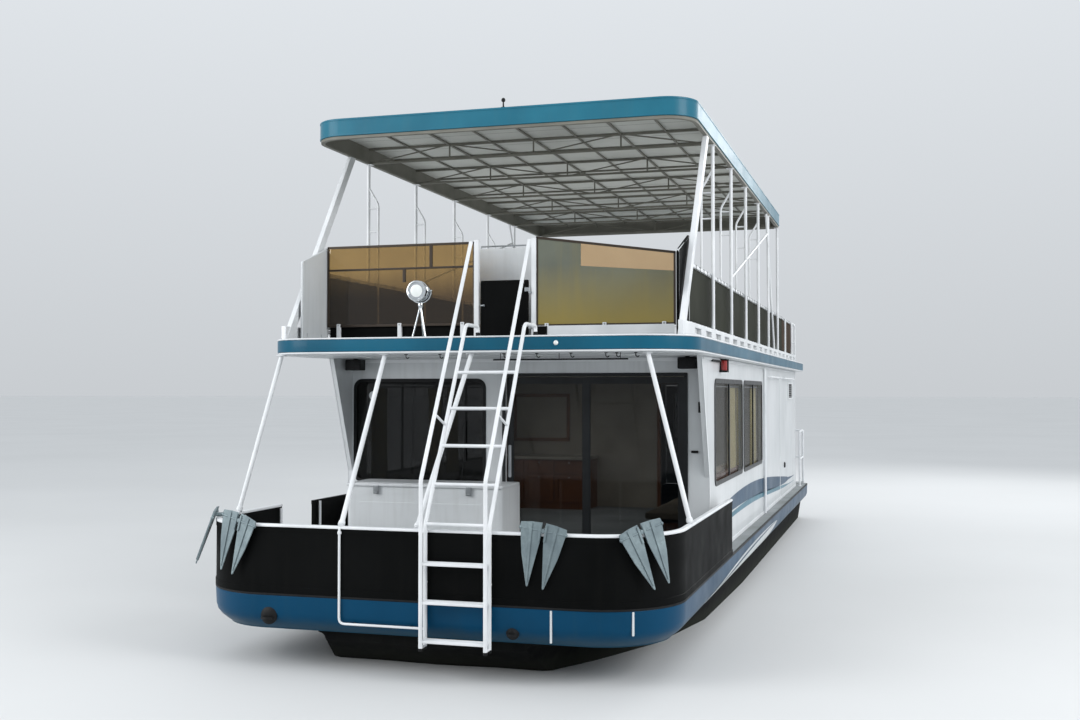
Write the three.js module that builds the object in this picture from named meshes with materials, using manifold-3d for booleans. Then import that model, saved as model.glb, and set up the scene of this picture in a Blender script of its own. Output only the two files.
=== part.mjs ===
// A lake houseboat: one long hull with a cabin on the main deck, an open upper deck with a
// canopy over its forward part, and two outboard engines astern.
// Millimetres. +Z up, the bow towards -Y, the port side towards +X, z = 0 at the waterline.

import * as THREE from "three";
import { mergeVertices } from "three/addons/utils/BufferGeometryUtils.js";
import Module from "manifold-3d";

const wasm = await Module();
wasm.setup();

// Driving dimensions

const SEAT = 0.3; // gap between two pieces that rest on each other
const RUNNING = 6; // gap between a moving piece and what it passes

const HULL = {
  half: 2130,
  front: -7300,
  back: 6600,
  frontRadius: 720,
  backRadius: 150,
  bandBottom: 320,
  bandTop: 625,
};
const DECK_TOP = 645;
const BULWARK = {
  top: 1200,
  thick: 40,
  inset: 2,
  aftEnd: -3770,
  gateFront: -5640,
  gateBack: -4930,
};
const BOW_RAIL = { width: 46, height: 24 };

const CABIN = { half: 1980, wall: 45, front: -4350, back: 5700, wingFront: -4820, wingFoot: 1480 };
const SOFFIT = 2695;
const WINDOW = { sill: 1380, head: 2460, radius: 80, pane: 8 };
const HELM_WINDOW = { left: -1895, right: -410 };
const DOORWAY = { left: -170, middle: 700, right: 1730, head: 2500 };
const SIDE_WINDOWS = [
  // from, to along the boat
  [-3980, -1750],
  [-1600, 360],
];
const DOOR_PANEL = { stile: 62, thick: 24, overlap: 45 };
const STERN_DOOR = { left: -350, right: 400, head: 2450, thick: 40 };
const STERN_HINGE = { x: STERN_DOOR.left - RUNNING - 14, y: CABIN.back + 12 };
const HINGE_Z = [950, 2150];
const HELM = { x: -1250, y: -3780, z: 1180, radius: 190, rim: 13 };

const LOCKER = { left: -1690, right: 0, front: -5000, top: 1400, wall: 25, lid: 30, ledge: 50 };

const UPPER = { half: 2080, front: -6100, back: 6000, frontRadius: 520, backRadius: 60, top: 2850 };
const FASCIA = { low: 2720, high: 2835, thick: 24 };

const CANOPY = { half: 1990, front: -5300, back: 3000, frontRadius: 330, backRadius: 120 };
const CANOPY_Z = { frame: 4920, fascia: 4950, chord: 5105, roof: 5120, top: 5130 };

const SIDE_RAIL = { x: 1905, low: 3000, high: 3560, front: -5050, back: 5850 };
const UPRIGHT = { x: 1957, radius: 20, innerOffset: 120, innerRadius: 13 };
const UPRIGHT_Y = [-3900, -2500, -1150, 230];
const AFT_POST_Y = [1500, 2850];
const RAIL_POST_Y = [4100, 5300];

const LADDER = { x: 400, half: 275, foot: 270, pitch: 310, rungs: 8, firstRung: 340 };

const ANCHOR_CROWN = { radius: 18, outside: -32, inside: 94 };
const PAD = { height: 8, halfWidth: 50, halfLength: 120 }; // raised plates for cleats
const PAD_PLACES = [
  // on the main deck, x and y
  [1550, -6550],
  [-1550, -6550],
  [1750, 6200],
  [-1750, 6200],
];
const UPPER_PAD = { x: -200, y: 4600, half: 150 };

const ENGINE = { x: 550, pivotY: 7330, pivotZ: 200, steerY: 7430 };
const PROP = { z: -650, y: 7712, radius: 178 };

// Finishes: colour, roughness, metalness

const FINISH = {
  bottomPaint: ["#15181b", 0.7, 0],
  blueGelcoat: ["#0a4563", 0.35, 0],
  tealPaint: ["#2b7486", 0.4, 0],
  whitePaint: ["#d9dadb", 0.45, 0],
  deckCoat: ["#9aa0a2", 0.85, 0],
  blackPanel: ["#141517", 0.5, 0],
  darkFrame: ["#1d1e20", 0.45, 0.3],
  glass: ["#20262b", 0.08, 0],
  smokedAcrylic: ["#4b3d2f", 0.12, 0],
  cloth: ["#35382f", 0.95, 0],
  underside: ["#a4a59d", 0.8, 0],
  galvanised: ["#99a6a6", 0.5, 0.8],
  chrome: ["#c8ccd0", 0.12, 1],
  wood: ["#7a4f2a", 0.6, 0],
  upholstery: ["#b5ab98", 0.9, 0],
  engineGrey: ["#3a3d40", 0.5, 0.2],
};

// Making solids

function solidOf(geometry) {
  const bare = geometry.clone();
  bare.deleteAttribute("normal");
  bare.deleteAttribute("uv");
  const merged = mergeVertices(bare, 1e-3);
  const mesh = new wasm.Mesh({
    numProp: 3,
    vertProperties: merged.attributes.position.array,
    triVerts: new Uint32Array(merged.index.array),
  });
  return new wasm.Manifold(mesh);
}

function join(solids) {
  return solids.reduce((whole, next) => whole.add(next));
}

function box(x0, x1, y0, y1, z0, z1) {
  const geometry = new THREE.BoxGeometry(x1 - x0, y1 - y0, z1 - z0);
  return solidOf(geometry.translate((x0 + x1) / 2, (y0 + y1) / 2, (z0 + z1) / 2));
}

// A shape pulled along one axis: its two coordinates are the other two axes in the order x, y, z.
function prism(shape, axis, from, to, curveSegments = 2) {
  const geometry = new THREE.ExtrudeGeometry(shape, {
    depth: to - from,
    bevelEnabled: false,
    curveSegments,
  });
  const turn = new THREE.Matrix4();
  if (axis === "x") turn.set(0, 0, 1, from, 1, 0, 0, 0, 0, 1, 0, 0, 0, 0, 0, 1);
  if (axis === "y") turn.set(1, 0, 0, 0, 0, 0, -1, to, 0, 1, 0, 0, 0, 0, 0, 1);
  if (axis === "z") turn.makeTranslation(0, 0, from);
  return solidOf(geometry.applyMatrix4(turn));
}

function polygon(points) {
  return new THREE.Shape(points.map(([a, b]) => new THREE.Vector2(a, b)));
}

function roundedRect(a0, a1, b0, b1, r) {
  const s = new THREE.Shape();
  s.absarc(a1 - r, b0 + r, r, -Math.PI / 2, 0);
  s.absarc(a1 - r, b1 - r, r, 0, Math.PI / 2);
  s.absarc(a0 + r, b1 - r, r, Math.PI / 2, Math.PI);
  s.absarc(a0 + r, b0 + r, r, Math.PI, 1.5 * Math.PI);
  s.closePath();
  return s;
}

// The outline of a deck seen from above, with its two front and two back corners rounded.
function planShape(plan, inset = 0) {
  const x = plan.half - inset;
  const front = plan.front + inset;
  const back = plan.back - inset;
  const rf = Math.max(plan.frontRadius - inset, 1);
  const rb = Math.max(plan.backRadius - inset, 1);
  const s = new THREE.Shape();
  s.absarc(x - rf, front + rf, rf, -Math.PI / 2, 0);
  s.absarc(x - rb, back - rb, rb, 0, Math.PI / 2);
  s.absarc(-x + rb, back - rb, rb, Math.PI / 2, Math.PI);
  s.absarc(-x + rf, front + rf, rf, Math.PI, 1.5 * Math.PI);
  s.closePath();
  return s;
}

function slab(plan, z0, z1, inset = 0, curveSegments = 4) {
  return prism(planShape(plan, inset), "z", z0, z1, curveSegments);
}

function ring(plan, z0, z1, inset, thick, curveSegments = 4) {
  return slab(plan, z0, z1, inset, curveSegments).subtract(
    slab(plan, z0 - 1, z1 + 1, inset + thick, curveSegments),
  );
}

// A straight round bar between two points.
function rod(a, b, radius, sides = 6) {
  const from = new THREE.Vector3(...a);
  const to = new THREE.Vector3(...b);
  const along = to.clone().sub(from);
  const geometry = new THREE.CylinderGeometry(radius, radius, along.length(), sides);
  const turn = new THREE.Quaternion().setFromUnitVectors(new THREE.Vector3(0, 1, 0), along.normalize());
  geometry.applyQuaternion(turn).translate(...from.add(to).multiplyScalar(0.5).toArray());
  return solidOf(geometry);
}

// Bars end to end, with a ball at each bend.
function bentRod(points, radius, sides = 6) {
  const bars = points.slice(1).map((p, i) => rod(points[i], p, radius, sides));
  const balls = points.slice(1, -1).map((p) => ball(p, radius, sides, 4));
  return join([...bars, ...balls]);
}

function ball(centre, radius, around = 12, up = 8) {
  return solidOf(new THREE.SphereGeometry(radius, around, up).translate(...centre));
}

// A flat bar of rectangular section between two points that differ in y and z.
function flatBar(x, a, b, width, depth) {
  const [y0, z0] = a;
  const [y1, z1] = b;
  const length = Math.hypot(y1 - y0, z1 - z0);
  const geometry = new THREE.BoxGeometry(width, depth, length);
  geometry.rotateX(-Math.atan2(y1 - y0, z1 - z0));
  return solidOf(geometry.translate(x, (y0 + y1) / 2, (z0 + z1) / 2));
}

// Keeps what lies between two heights.
function between(solid, z0, z1) {
  const reach = 20000;
  return solid.intersect(box(-reach, reach, -reach, reach, z0, z1));
}

// A closed skin over rings of points, all convex and of the same count.
function loft(rings) {
  const count = rings[0].length;
  const positions = rings.flat().flat();
  const index = [];
  for (let r = 0; r + 1 < rings.length; r++) {
    for (let i = 0; i < count; i++) {
      const a = r * count + i;
      const b = r * count + ((i + 1) % count);
      index.push(a, b, b + count, a, b + count, a + count);
    }
  }
  const last = (rings.length - 1) * count;
  for (let i = 1; i + 1 < count; i++) {
    index.push(0, i + 1, i);
    index.push(last, last + i, last + i + 1);
  }
  const geometry = new THREE.BufferGeometry();
  geometry.setAttribute("position", new THREE.Float32BufferAttribute(positions, 3));
  geometry.setIndex(index);
  const made = solidOf(geometry);
  return made.volume() > 0 ? made : solidOf(geometry.setIndex(index.reverse()));
}

const root = new THREE.Group();

function add(name, solid, finish) {
  const { vertProperties, triVerts } = solid.getMesh();
  const geometry = new THREE.BufferGeometry();
  geometry.setAttribute("position", new THREE.BufferAttribute(new Float32Array(vertProperties), 3));
  geometry.setIndex(new THREE.BufferAttribute(new Uint32Array(triVerts), 1));
  geometry.computeVertexNormals();
  const [color, roughness, metalness] = FINISH[finish];
  const mesh = new THREE.Mesh(geometry, new THREE.MeshStandardMaterial({ color, roughness, metalness }));
  mesh.name = name;
  root.add(mesh);
}

// Hull

function hullBottom() {
  // along the boat, half width at the top, half width at the chine, chine height, keel height
  const stations = [
    [-7060, 960, 900, 240, 215],
    [-6720, 1150, 980, 20, -10],
    [-6200, 1420, 1180, -160, -220],
    [-5300, 1760, 1560, -230, -330],
    [-4000, 1950, 1820, -250, -365],
    [-1500, 1990, 1900, -260, -370],
    [HULL.back, 1990, 1920, -265, -370],
  ];
  const top = HULL.bandBottom - SEAT;
  const rings = stations.map(([y, halfTop, halfChine, chine, keel]) => [
    [-halfTop, y, top],
    [-halfChine, y, chine],
    [0, y, keel],
    [halfChine, y, chine],
    [halfTop, y, top],
  ]);
  return loft(rings);
}

function hullTopsides() {
  // height, inset from the deck edge
  const levels = [
    [HULL.bandBottom, 135],
    [360, 85],
    [440, 28],
    [HULL.bandTop, 0],
  ];
  const rings = levels.map(([z, inset]) =>
    planShape({ ...HULL, back: HULL.back + inset }, inset)
      .getPoints(5)
      .slice(0, -1)
      .map((p) => [p.x, p.y, z]),
  );
  return loft(rings);
}

function bulwarkBand(y0, y1, xSide) {
  const z0 = DECK_TOP + SEAT;
  const wall = ring(HULL, z0, BULWARK.top, BULWARK.inset, BULWARK.thick, 5);
  const keep = box(...(xSide < 0 ? [-3000, 0] : [0, 3000]), y0, y1, z0 - 10, BULWARK.top + 10);
  return wall.intersect(keep);
}

function bowBulwark() {
  const port = bulwarkBand(-8000, BULWARK.aftEnd, 1);
  const starboard = bulwarkBand(-8000, BULWARK.gateFront, -1);
  return port.add(starboard);
}

function bowRail() {
  const inset = BULWARK.inset + BULWARK.thick / 2 - BOW_RAIL.width / 2;
  const z0 = BULWARK.top + SEAT;
  const cap = ring(HULL, z0, z0 + BOW_RAIL.height, inset, BOW_RAIL.width, 5);
  const port = cap.intersect(box(0, 3000, -8000, BULWARK.aftEnd, z0 - 5, z0 + 50));
  const starboard = cap.intersect(box(-3000, 0, -8000, BULWARK.gateFront, z0 - 5, z0 + 50));
  return port.add(starboard);
}

// A light tube that hangs from the rail on the outside of the bow, down and across to the ladder.
function bowTubeFrame() {
  const r = 11;
  const y = HULL.front - r - SEAT;
  const top = BULWARK.top + SEAT + BOW_RAIL.height / 2;
  return bentRod(
    [
      [-650, y + 40, top],
      [-650, y, top],
      [-650, y, 420],
      [95, y, 420],
    ],
    r,
  );
}

// The main deck with the raised plates that its cleats are bolted to.
function mainDeck() {
  const deck = slab(HULL, HULL.bandTop + SEAT, DECK_TOP, 6, 5);
  const pads = PAD_PLACES.map(([x, y]) =>
    box(
      x - PAD.halfWidth,
      x + PAD.halfWidth,
      y - PAD.halfLength,
      y + PAD.halfLength,
      DECK_TOP - 5,
      DECK_TOP + PAD.height,
    ),
  );
  return join([deck, ...pads]);
}

// Cabin

function frontWall() {
  const half = CABIN.half - CABIN.wall - SEAT;
  const low = DECK_TOP + SEAT;
  const outline = polygon([
    [-half, low],
    [DOORWAY.left, low],
    [DOORWAY.left, DOORWAY.head],
    [DOORWAY.right, DOORWAY.head],
    [DOORWAY.right, low],
    [half, low],
    [half, SOFFIT - SEAT],
    [-half, SOFFIT - SEAT],
  ]);
  outline.holes.push(
    roundedRect(HELM_WINDOW.left, HELM_WINDOW.right, WINDOW.sill, WINDOW.head, WINDOW.radius),
  );
  return prism(outline, "y", CABIN.front, CABIN.front + CABIN.wall);
}

function sideWall(side) {
  const low = DECK_TOP + SEAT;
  const outline = polygon([
    [CABIN.front, low],
    [CABIN.back, low],
    [CABIN.back, SOFFIT - SEAT],
    [CABIN.wingFront, SOFFIT - SEAT],
    [CABIN.front, CABIN.wingFoot],
  ]);
  for (const [from, to] of SIDE_WINDOWS) {
    outline.holes.push(roundedRect(from, to, WINDOW.sill, WINDOW.head, WINDOW.radius));
  }
  const inner = CABIN.half - CABIN.wall;
  return side > 0
    ? prism(outline, "x", inner, CABIN.half)
    : prism(outline, "x", -CABIN.half, -inner);
}

function sternWall() {
  const half = CABIN.half - CABIN.wall - SEAT;
  const low = DECK_TOP + SEAT;
  const outline = polygon([
    [-half, low],
    [STERN_DOOR.left - RUNNING, low],
    [STERN_DOOR.left - RUNNING, STERN_DOOR.head],
    [STERN_DOOR.right + RUNNING, STERN_DOOR.head],
    [STERN_DOOR.right + RUNNING, low],
    [half, low],
    [half, SOFFIT - SEAT],
    [-half, SOFFIT - SEAT],
  ]);
  const wall = prism(outline, "y", CABIN.back - CABIN.wall, CABIN.back);
  const lugs = HINGE_Z.map((z) =>
    box(STERN_HINGE.x - 60, STERN_HINGE.x + 10, CABIN.back - 1, STERN_HINGE.y + 10, z - 46, z - 20),
  );
  return join([wall, ...lugs]);
}

function sternDoor() {
  const low = DECK_TOP + 12;
  const leaf = box(
    STERN_DOOR.left,
    STERN_DOOR.right,
    CABIN.back - STERN_DOOR.thick + 2,
    CABIN.back + 2,
    low,
    STERN_DOOR.head - RUNNING,
  );
  const light = box(STERN_DOOR.left + 140, STERN_DOOR.right - 140, 0, 9000, 1500, 2300);
  const pane = box(
    STERN_DOOR.left + 130,
    STERN_DOOR.right - 130,
    CABIN.back - 22,
    CABIN.back - 14,
    1490,
    2310,
  );
  const knuckles = HINGE_Z.map((z) =>
    join([
      rod([STERN_HINGE.x, STERN_HINGE.y, z - 20 + SEAT], [STERN_HINGE.x, STERN_HINGE.y, z + 24], 9),
      box(STERN_HINGE.x, STERN_DOOR.left + 60, CABIN.back + 2, CABIN.back + 10, z - 16, z + 24),
    ]),
  );
  return join([leaf.subtract(light), pane, ...knuckles]);
}

// A glazed panel: a frame with one thin pane in it. The two directions are x and z.
function doorPanel(x0, x1, y0) {
  const low = DECK_TOP + SEAT;
  const high = DOORWAY.head - RUNNING;
  const { stile, thick } = DOOR_PANEL;
  const frame = box(x0, x1, y0, y0 + thick, low, high);
  const light = box(x0 + stile, x1 - stile, y0 - 1, y0 + thick + 1, low + stile, high - stile);
  const pane = box(x0 + stile - 5, x1 - stile + 5, y0 + 8, y0 + 16, low + stile - 5, high - stile + 5);
  return frame.subtract(light).add(pane);
}

function sideWindows(side) {
  const inner = CABIN.half - CABIN.wall;
  const paneFrom = inner + 18;
  const paneTo = paneFrom + WINDOW.pane;
  const place = (x0, x1) => (side > 0 ? [x0, x1] : [-x1, -x0]);
  const panes = SIDE_WINDOWS.map(([from, to]) =>
    prism(
      roundedRect(from + SEAT, to - SEAT, WINDOW.sill + SEAT, WINDOW.head - SEAT, WINDOW.radius),
      "x",
      ...place(paneFrom, paneTo),
    ),
  );
  // a curtain rail along the inside, held off the panes by short blocks
  const railZ = WINDOW.head - 70;
  const railFrom = SIDE_WINDOWS[0][0] + 60;
  const railTo = SIDE_WINDOWS[1][1] - 60;
  const rail = box(...place(inner - 30, inner - 12), railFrom, railTo, railZ, railZ + 18);
  const blocks = SIDE_WINDOWS.flatMap(([from, to]) =>
    [from + 150, to - 150].map((y) =>
      box(...place(inner - 20, paneFrom + 1), y - 10, y + 10, railZ, railZ + 18),
    ),
  );
  return join([...panes, rail, ...blocks]);
}

function helmWindow() {
  return prism(
    roundedRect(
      HELM_WINDOW.left + SEAT,
      HELM_WINDOW.right - SEAT,
      WINDOW.sill + SEAT,
      WINDOW.head - SEAT,
      WINDOW.radius,
    ),
    "y",
    CABIN.front + 18,
    CABIN.front + 18 + WINDOW.pane,
  );
}

// Bow locker under the helm window

function lockerBody() {
  const { left, right, front, top, wall, lid, ledge } = LOCKER;
  const back = CABIN.front - SEAT;
  const low = DECK_TOP + SEAT;
  const high = top - lid - SEAT;
  const body = box(left, right, front, back, low, high);
  const hollow = box(left + wall, right - wall, front + wall, back - ledge, low + wall, high + 1);
  return body.subtract(hollow);
}

function lockerLid() {
  const { left, right, front, top, lid, ledge } = LOCKER;
  return box(left - 12, right + 12, front - 18, CABIN.front - SEAT - ledge - 1, top - lid, top);
}

// Inside the cabin

function helmConsole() {
  const desk = polygon([
    [-4290, 645.3],
    [-3950, 645.3],
    [-3900, 1250],
    [-4290, 1370],
  ]);
  const body = prism(desk, "x", -1900, -650);
  const boss = rod([HELM.x, -3960, HELM.z], [HELM.x, HELM.y - 26, HELM.z], 30, 12);
  return body.add(boss);
}

function helmWheel() {
  const rim = solidOf(new THREE.TorusGeometry(HELM.radius, HELM.rim, 5, 16).rotateX(Math.PI / 2));
  const spokes = [0, 120, 240].map((deg) => {
    const a = THREE.MathUtils.degToRad(deg);
    return rod([0, 0, 0], [HELM.radius * Math.sin(a), 0, -HELM.radius * Math.cos(a)], 9, 6);
  });
  const hub = rod([0, -26 + SEAT, 0], [0, 16, 0], 32, 12);
  return join([rim, ...spokes, hub]).translate(HELM.x, HELM.y, HELM.z);
}

function bulkhead() {
  const half = CABIN.half - CABIN.wall - 1;
  const low = DECK_TOP + SEAT;
  const wall = box(-half, half, 1000, 1040, low, SOFFIT - SEAT);
  const doorway = box(450, 1200, 900, 1200, low - 10, 2450);
  return wall.subtract(doorway);
}

function galley() {
  const low = DECK_TOP + SEAT;
  const base = box(-1920, -500, 400, 990, low, 1370);
  const counter = box(-1925, -480, 370, 999, 1370 - 1, 1410);
  return base.add(counter);
}

function sofa() {
  const low = DECK_TOP + SEAT;
  const seat = box(1180, 1925, -3700, -1500, low, 1080);
  const backrest = box(1700, 1925, -3700, -1500, 1079, 1480);
  return seat.add(backrest);
}

// Upper deck

function upperDeck() {
  const { x, y, half } = UPPER_PAD;
  const pad = box(x - half, x + half, y - half, y + half, UPPER.top - 5, UPPER.top + PAD.height);
  return slab(UPPER, SOFFIT, UPPER.top).add(pad);
}

function fascia() {
  const thick = FASCIA.thick;
  return slab(UPPER, FASCIA.low, FASCIA.high, -thick - SEAT).subtract(
    slab(UPPER, FASCIA.low - 1, FASCIA.high + 1, -SEAT),
  );
}

// top x, top y, foot x, foot y
const BOW_STRUTS = [
  [-1900, -6010, -2108, -6430],
  [-800, -6050, -650, -7278],
  [60, -6050, 30, -7278],
  [1700, -6030, 2108, -6250],
];

function bowStrut([topX, topY, footX, footY]) {
  const foot = BULWARK.top + 2 * SEAT + BOW_RAIL.height;
  const high = SOFFIT - SEAT;
  const a = new THREE.Vector3(footX, footY, foot);
  const b = new THREE.Vector3(topX, topY, high);
  const extra = b.clone().sub(a).normalize().multiplyScalar(60);
  const bar = rod(a.clone().sub(extra).toArray(), b.clone().add(extra).toArray(), 22);
  return between(bar, foot, high);
}

function bowLadder() {
  const { x, half, foot, pitch, rungs, firstRung } = LADDER;
  const r = 17;
  const stringerY = HULL.front - r - 14;
  const handrailY = -7430;
  const kneeZ = 1260;
  const topZ = 2940;
  const topY = -6380;
  const slope = (topY - stringerY) / (topZ - kneeZ);
  const alongY = (z) => stringerY + Math.max(0, z - kneeZ) * slope;
  const parts = [];
  for (const side of [-1, 1]) {
    const at = x + side * half;
    parts.push(
      bentRod([[at, stringerY, foot], [at, stringerY, kneeZ], [at, topY, topZ], [at, -6060, topZ]], r),
      rod([at, -6060, topZ], [at, -6060, UPPER.top + SEAT], r),
      ball([at, -6060, topZ], r, 6, 4),
      bentRod([[at, handrailY, foot], [at, handrailY, 1630], [at, -6250, 3690]], r),
      rod([at, handrailY, foot + 20], [at, stringerY, foot + 20], r),
      rod([at, handrailY + 300, 2160], [at, alongY(2060), 2060], 11, 6),
    );
  }
  for (let k = 0; k < rungs; k++) {
    const z = firstRung + k * pitch;
    const y = alongY(z);
    const wide = z < kneeZ - 100;
    parts.push(
      wide
        ? box(x - half, x + half, handrailY, y, z - 14, z + 14)
        : rod([x - half, y, z], [x + half, y, z], 15),
    );
  }
  return join(parts);
}

// Windscreens on the upper deck

const GATE = { left: -190, right: 310, low: 2900, high: 3450, hingeX: 330 };
const GATE_HINGE_Z = [2980, 3330];
const SCREEN = { y: -5100, thick: 12, post: 22 };

// x from the middle outwards, foot height, top height at the inner end and at the outer end
const SCREENS = {
  windscreen_stbd: { inner: -250, outer: -1870, low: 3010, topInner: 3840, topOuter: 3840 },
  windscreen_port: { inner: 390, outer: 1780, low: 2985, topInner: 3870, topOuter: 3680 },
};

function windscreen({ inner, outer, low, topInner, topOuter }) {
  const { y, thick, post } = SCREEN;
  const pane = prism(
    polygon([
      [inner, low],
      [outer, low],
      [outer, topOuter],
      [inner, topInner],
    ]),
    "y",
    y,
    y + thick,
  );
  const towardsMiddle = Math.sign(inner - outer);
  const gatePostX = inner + towardsMiddle * 20;
  const gatePost = box(gatePostX - 25, gatePostX + 25, y - 15, y + 35, UPPER.top + SEAT, 3860);
  const stanchions = [0.08, 0.5, 0.92].map((t) => {
    const x = inner + (outer - inner) * t;
    return box(x - post, x + post, y - 12, y + thick + 12, UPPER.top + SEAT, low + 60);
  });
  const lug = (z) => box(322, 350, -5131, -5110, z - 20, z - SEAT);
  const hinges = towardsMiddle < 0 ? GATE_HINGE_Z.map(lug) : [];
  return join([pane, gatePost, ...stanchions, ...hinges]);
}

function wing(side) {
  const outline = polygon([
    [-5620, UPPER.top + SEAT],
    [-5060, UPPER.top + SEAT],
    [-5060, 3830],
    [-5620, 3640],
  ]);
  const x = side > 0 ? [1880, 1905] : [-1905, -1880];
  return prism(outline, "x", ...x);
}

function upperGate() {
  const panel = box(GATE.left, GATE.right, -5092, -5074, GATE.low, GATE.high);
  const knuckle = (z) =>
    join([
      rod([GATE.hingeX, -5123, z], [GATE.hingeX, -5123, z + 40], 7),
      box(GATE.right - 30, GATE.hingeX, -5128, -5118, z, z + 40),
      box(GATE.right - 30, GATE.right - 20, -5128, -5080, z, z + 40),
    ]);
  return join([panel, ...GATE_HINGE_Z.map(knuckle)]);
}

function flyConsole() {
  const side = polygon([
    [-4760, UPPER.top + SEAT],
    [-4380, UPPER.top + SEAT],
    [-4480, 3650],
    [-4700, 3810],
    [-4760, 3810],
  ]);
  return prism(side, "x", -370, 250);
}

// Side frames: canopy uprights, rails and the toe rail of the upper deck, welded together

function toeRail(side) {
  const low = UPPER.top + SEAT;
  const bar = box(1938, 1986, -5860, SIDE_RAIL.back, low, 2985);
  const holes = [];
  for (let y = -5220; y < 5400; y += 660) holes.push(box(1900, 2020, y, y + 370, 2890, 2945));
  const made = bar.subtract(join(holes));
  return side > 0 ? made : made.mirror([1, 0, 0]);
}

function sideFrame(side) {
  const x = side * UPRIGHT.x;
  const xi = side * (UPRIGHT.x - UPRIGHT.innerOffset);
  const xr = side * SIDE_RAIL.x;
  const low = UPPER.top + SEAT;
  const high = CANOPY_Z.frame - SEAT;
  const parts = [toeRail(side)];
  for (const y of UPRIGHT_Y) {
    parts.push(
      rod([x, y, low], [x, y, high], UPRIGHT.radius),
      bentRod([[xi, y, low], [xi, y, 4480], [x, y, 4640]], UPRIGHT.innerRadius, 6),
      rod([x, y, 4150], [xi, y, 4150], 10, 6),
    );
  }
  parts.push(rod([x, AFT_POST_Y[0], low], [x, AFT_POST_Y[0], high], UPRIGHT.radius));
  parts.push(rod([x, AFT_POST_Y[1], low], [x, AFT_POST_Y[1], high], UPRIGHT.radius));
  for (const y of RAIL_POST_Y) parts.push(rod([x, y, low], [x, y, SIDE_RAIL.high], 18));
  // raked posts at the two ends of the canopy, cut level at deck and frame
  parts.push(between(flatBar(side * 1955, [-5838, 2795], [-4312, 4975], 50, 100), low, high));
  parts.push(between(rod([x, 2450, 2700], [x, 1150, 5100], 18), low, high));
  parts.push(rod([x, -2500, 3650], [x, 1400, 4640], 14, 6));
  // top and bottom rail with the short arms that hold them
  const { high: railHigh, low: railLow, back, front } = SIDE_RAIL;
  parts.push(box(xr - 15, xr + 15, front, back, railHigh - 15, railHigh + 15));
  parts.push(box(xr - 11, xr + 11, front, back, railLow - 11, railLow + 11));
  for (const y of [...UPRIGHT_Y, ...AFT_POST_Y, ...RAIL_POST_Y]) {
    for (const z of [SIDE_RAIL.low, SIDE_RAIL.high]) {
      parts.push(rod([xr, y, z], [x, y, z], 9, 6));
    }
  }
  return join(parts);
}

function railCloth(side) {
  const x0 = SIDE_RAIL.x - 3;
  const low = SIDE_RAIL.low + 11 + SEAT;
  const sheet = box(x0, x0 + 6, SIDE_RAIL.front + 20, SIDE_RAIL.back - 20, low, SIDE_RAIL.high - 15 - SEAT);
  return side > 0 ? sheet : sheet.mirror([1, 0, 0]);
}

function sternRailUpper() {
  const low = UPPER.top + SEAT;
  const y = 5935;
  const r = 18;
  const spans = [
    // from, to across the boat
    [-1960, -1400],
    [-560, 1960],
  ];
  const parts = [];
  for (const [from, to] of spans) {
    parts.push(rod([from, y, SIDE_RAIL.high], [to, y, SIDE_RAIL.high], r));
    const posts = Math.max(1, Math.round((to - from) / 700));
    for (let i = 0; i <= posts; i++) {
      const x = from + ((to - from) * i) / posts;
      parts.push(rod([x, y, low], [x, y, SIDE_RAIL.high], r));
    }
  }
  parts.push(box(-1960, 1960, y - 12, y + 12, low, low + 60));
  return join(parts);
}

// Canopy

function canopyFrame() {
  const { frame, chord } = CANOPY_Z;
  const parts = [ring(CANOPY, frame, CANOPY_Z.fascia - SEAT, 12, 44, 3)];
  const half = CANOPY.half - 38;
  for (const y of [...UPRIGHT_Y, ...AFT_POST_Y]) {
    parts.push(box(-half, half, y - 12, y + 12, chord - 26, chord));
    parts.push(box(-half, half, y - 12, y + 12, frame + 2, frame + 24));
    for (const x of [-0.5, 0, 0.5]) {
      const at = x * half;
      parts.push(box(at - 9, at + 9, y - 9, y + 9, frame + 3, chord - 3));
    }
  }
  for (const x of [-0.5, 0, 0.5]) {
    const at = x * half;
    parts.push(box(at - 11, at + 11, CANOPY.front + 40, CANOPY.back - 40, chord - 22, chord - 4));
  }
  return join(parts);
}

// Anchors hung over the bow rail: on the straight front at x, or on a corner at an angle from dead ahead.
// The crown lies on the rail, the shank hangs inside the bulwark and the flukes outside. Each anchor
// tilts about its crown, and its flukes lean away from the hull about the stock.

const ANCHORS = [
  { corner: -1, degrees: 65, tilt: 4, lean: 20 },
  { corner: -1, degrees: 15, tilt: 13, lean: 5 },
  { x: 1120, degrees: 0, tilt: 9, lean: 0 },
  { corner: 1, degrees: 39, tilt: -19, lean: 8 },
];

function anchor({ x, corner, degrees, tilt, lean }) {
  const { radius, outside, inside } = ANCHOR_CROWN;
  const stockY = -20;
  const fluke = polygon([
    [14, 67],
    [196, 42],
    [150, -203],
    [72, -458],
    [58, -458],
    [30, -213],
    [14, -83],
  ]);
  const plate = prism(fluke, "y", -6, 6);
  const stock = rod([-190, 0, 0], [190, 0, 0], 11);
  const flukes = join([plate, plate.mirror([1, 0, 0]), stock])
    .rotate([-lean, 0, 0])
    .translate(0, stockY, 0);
  const crown = rod([0, outside, 0], [0, inside, 0], radius, 24);
  const shank = box(-12, 12, inside - 22, inside, -420, 0);
  const height = BULWARK.top + SEAT + BOW_RAIL.height + SEAT + radius;
  const hung = join([flukes, crown, shank]).rotate([0, tilt, 0]);
  if (corner === undefined) return hung.translate(x, HULL.front, height);
  const centreX = corner * (HULL.half - HULL.frontRadius);
  const centreY = HULL.front + HULL.frontRadius;
  return hung
    .translate(0, -HULL.frontRadius, 0)
    .rotate([0, 0, corner * degrees])
    .translate(centreX, centreY, height);
}

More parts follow.
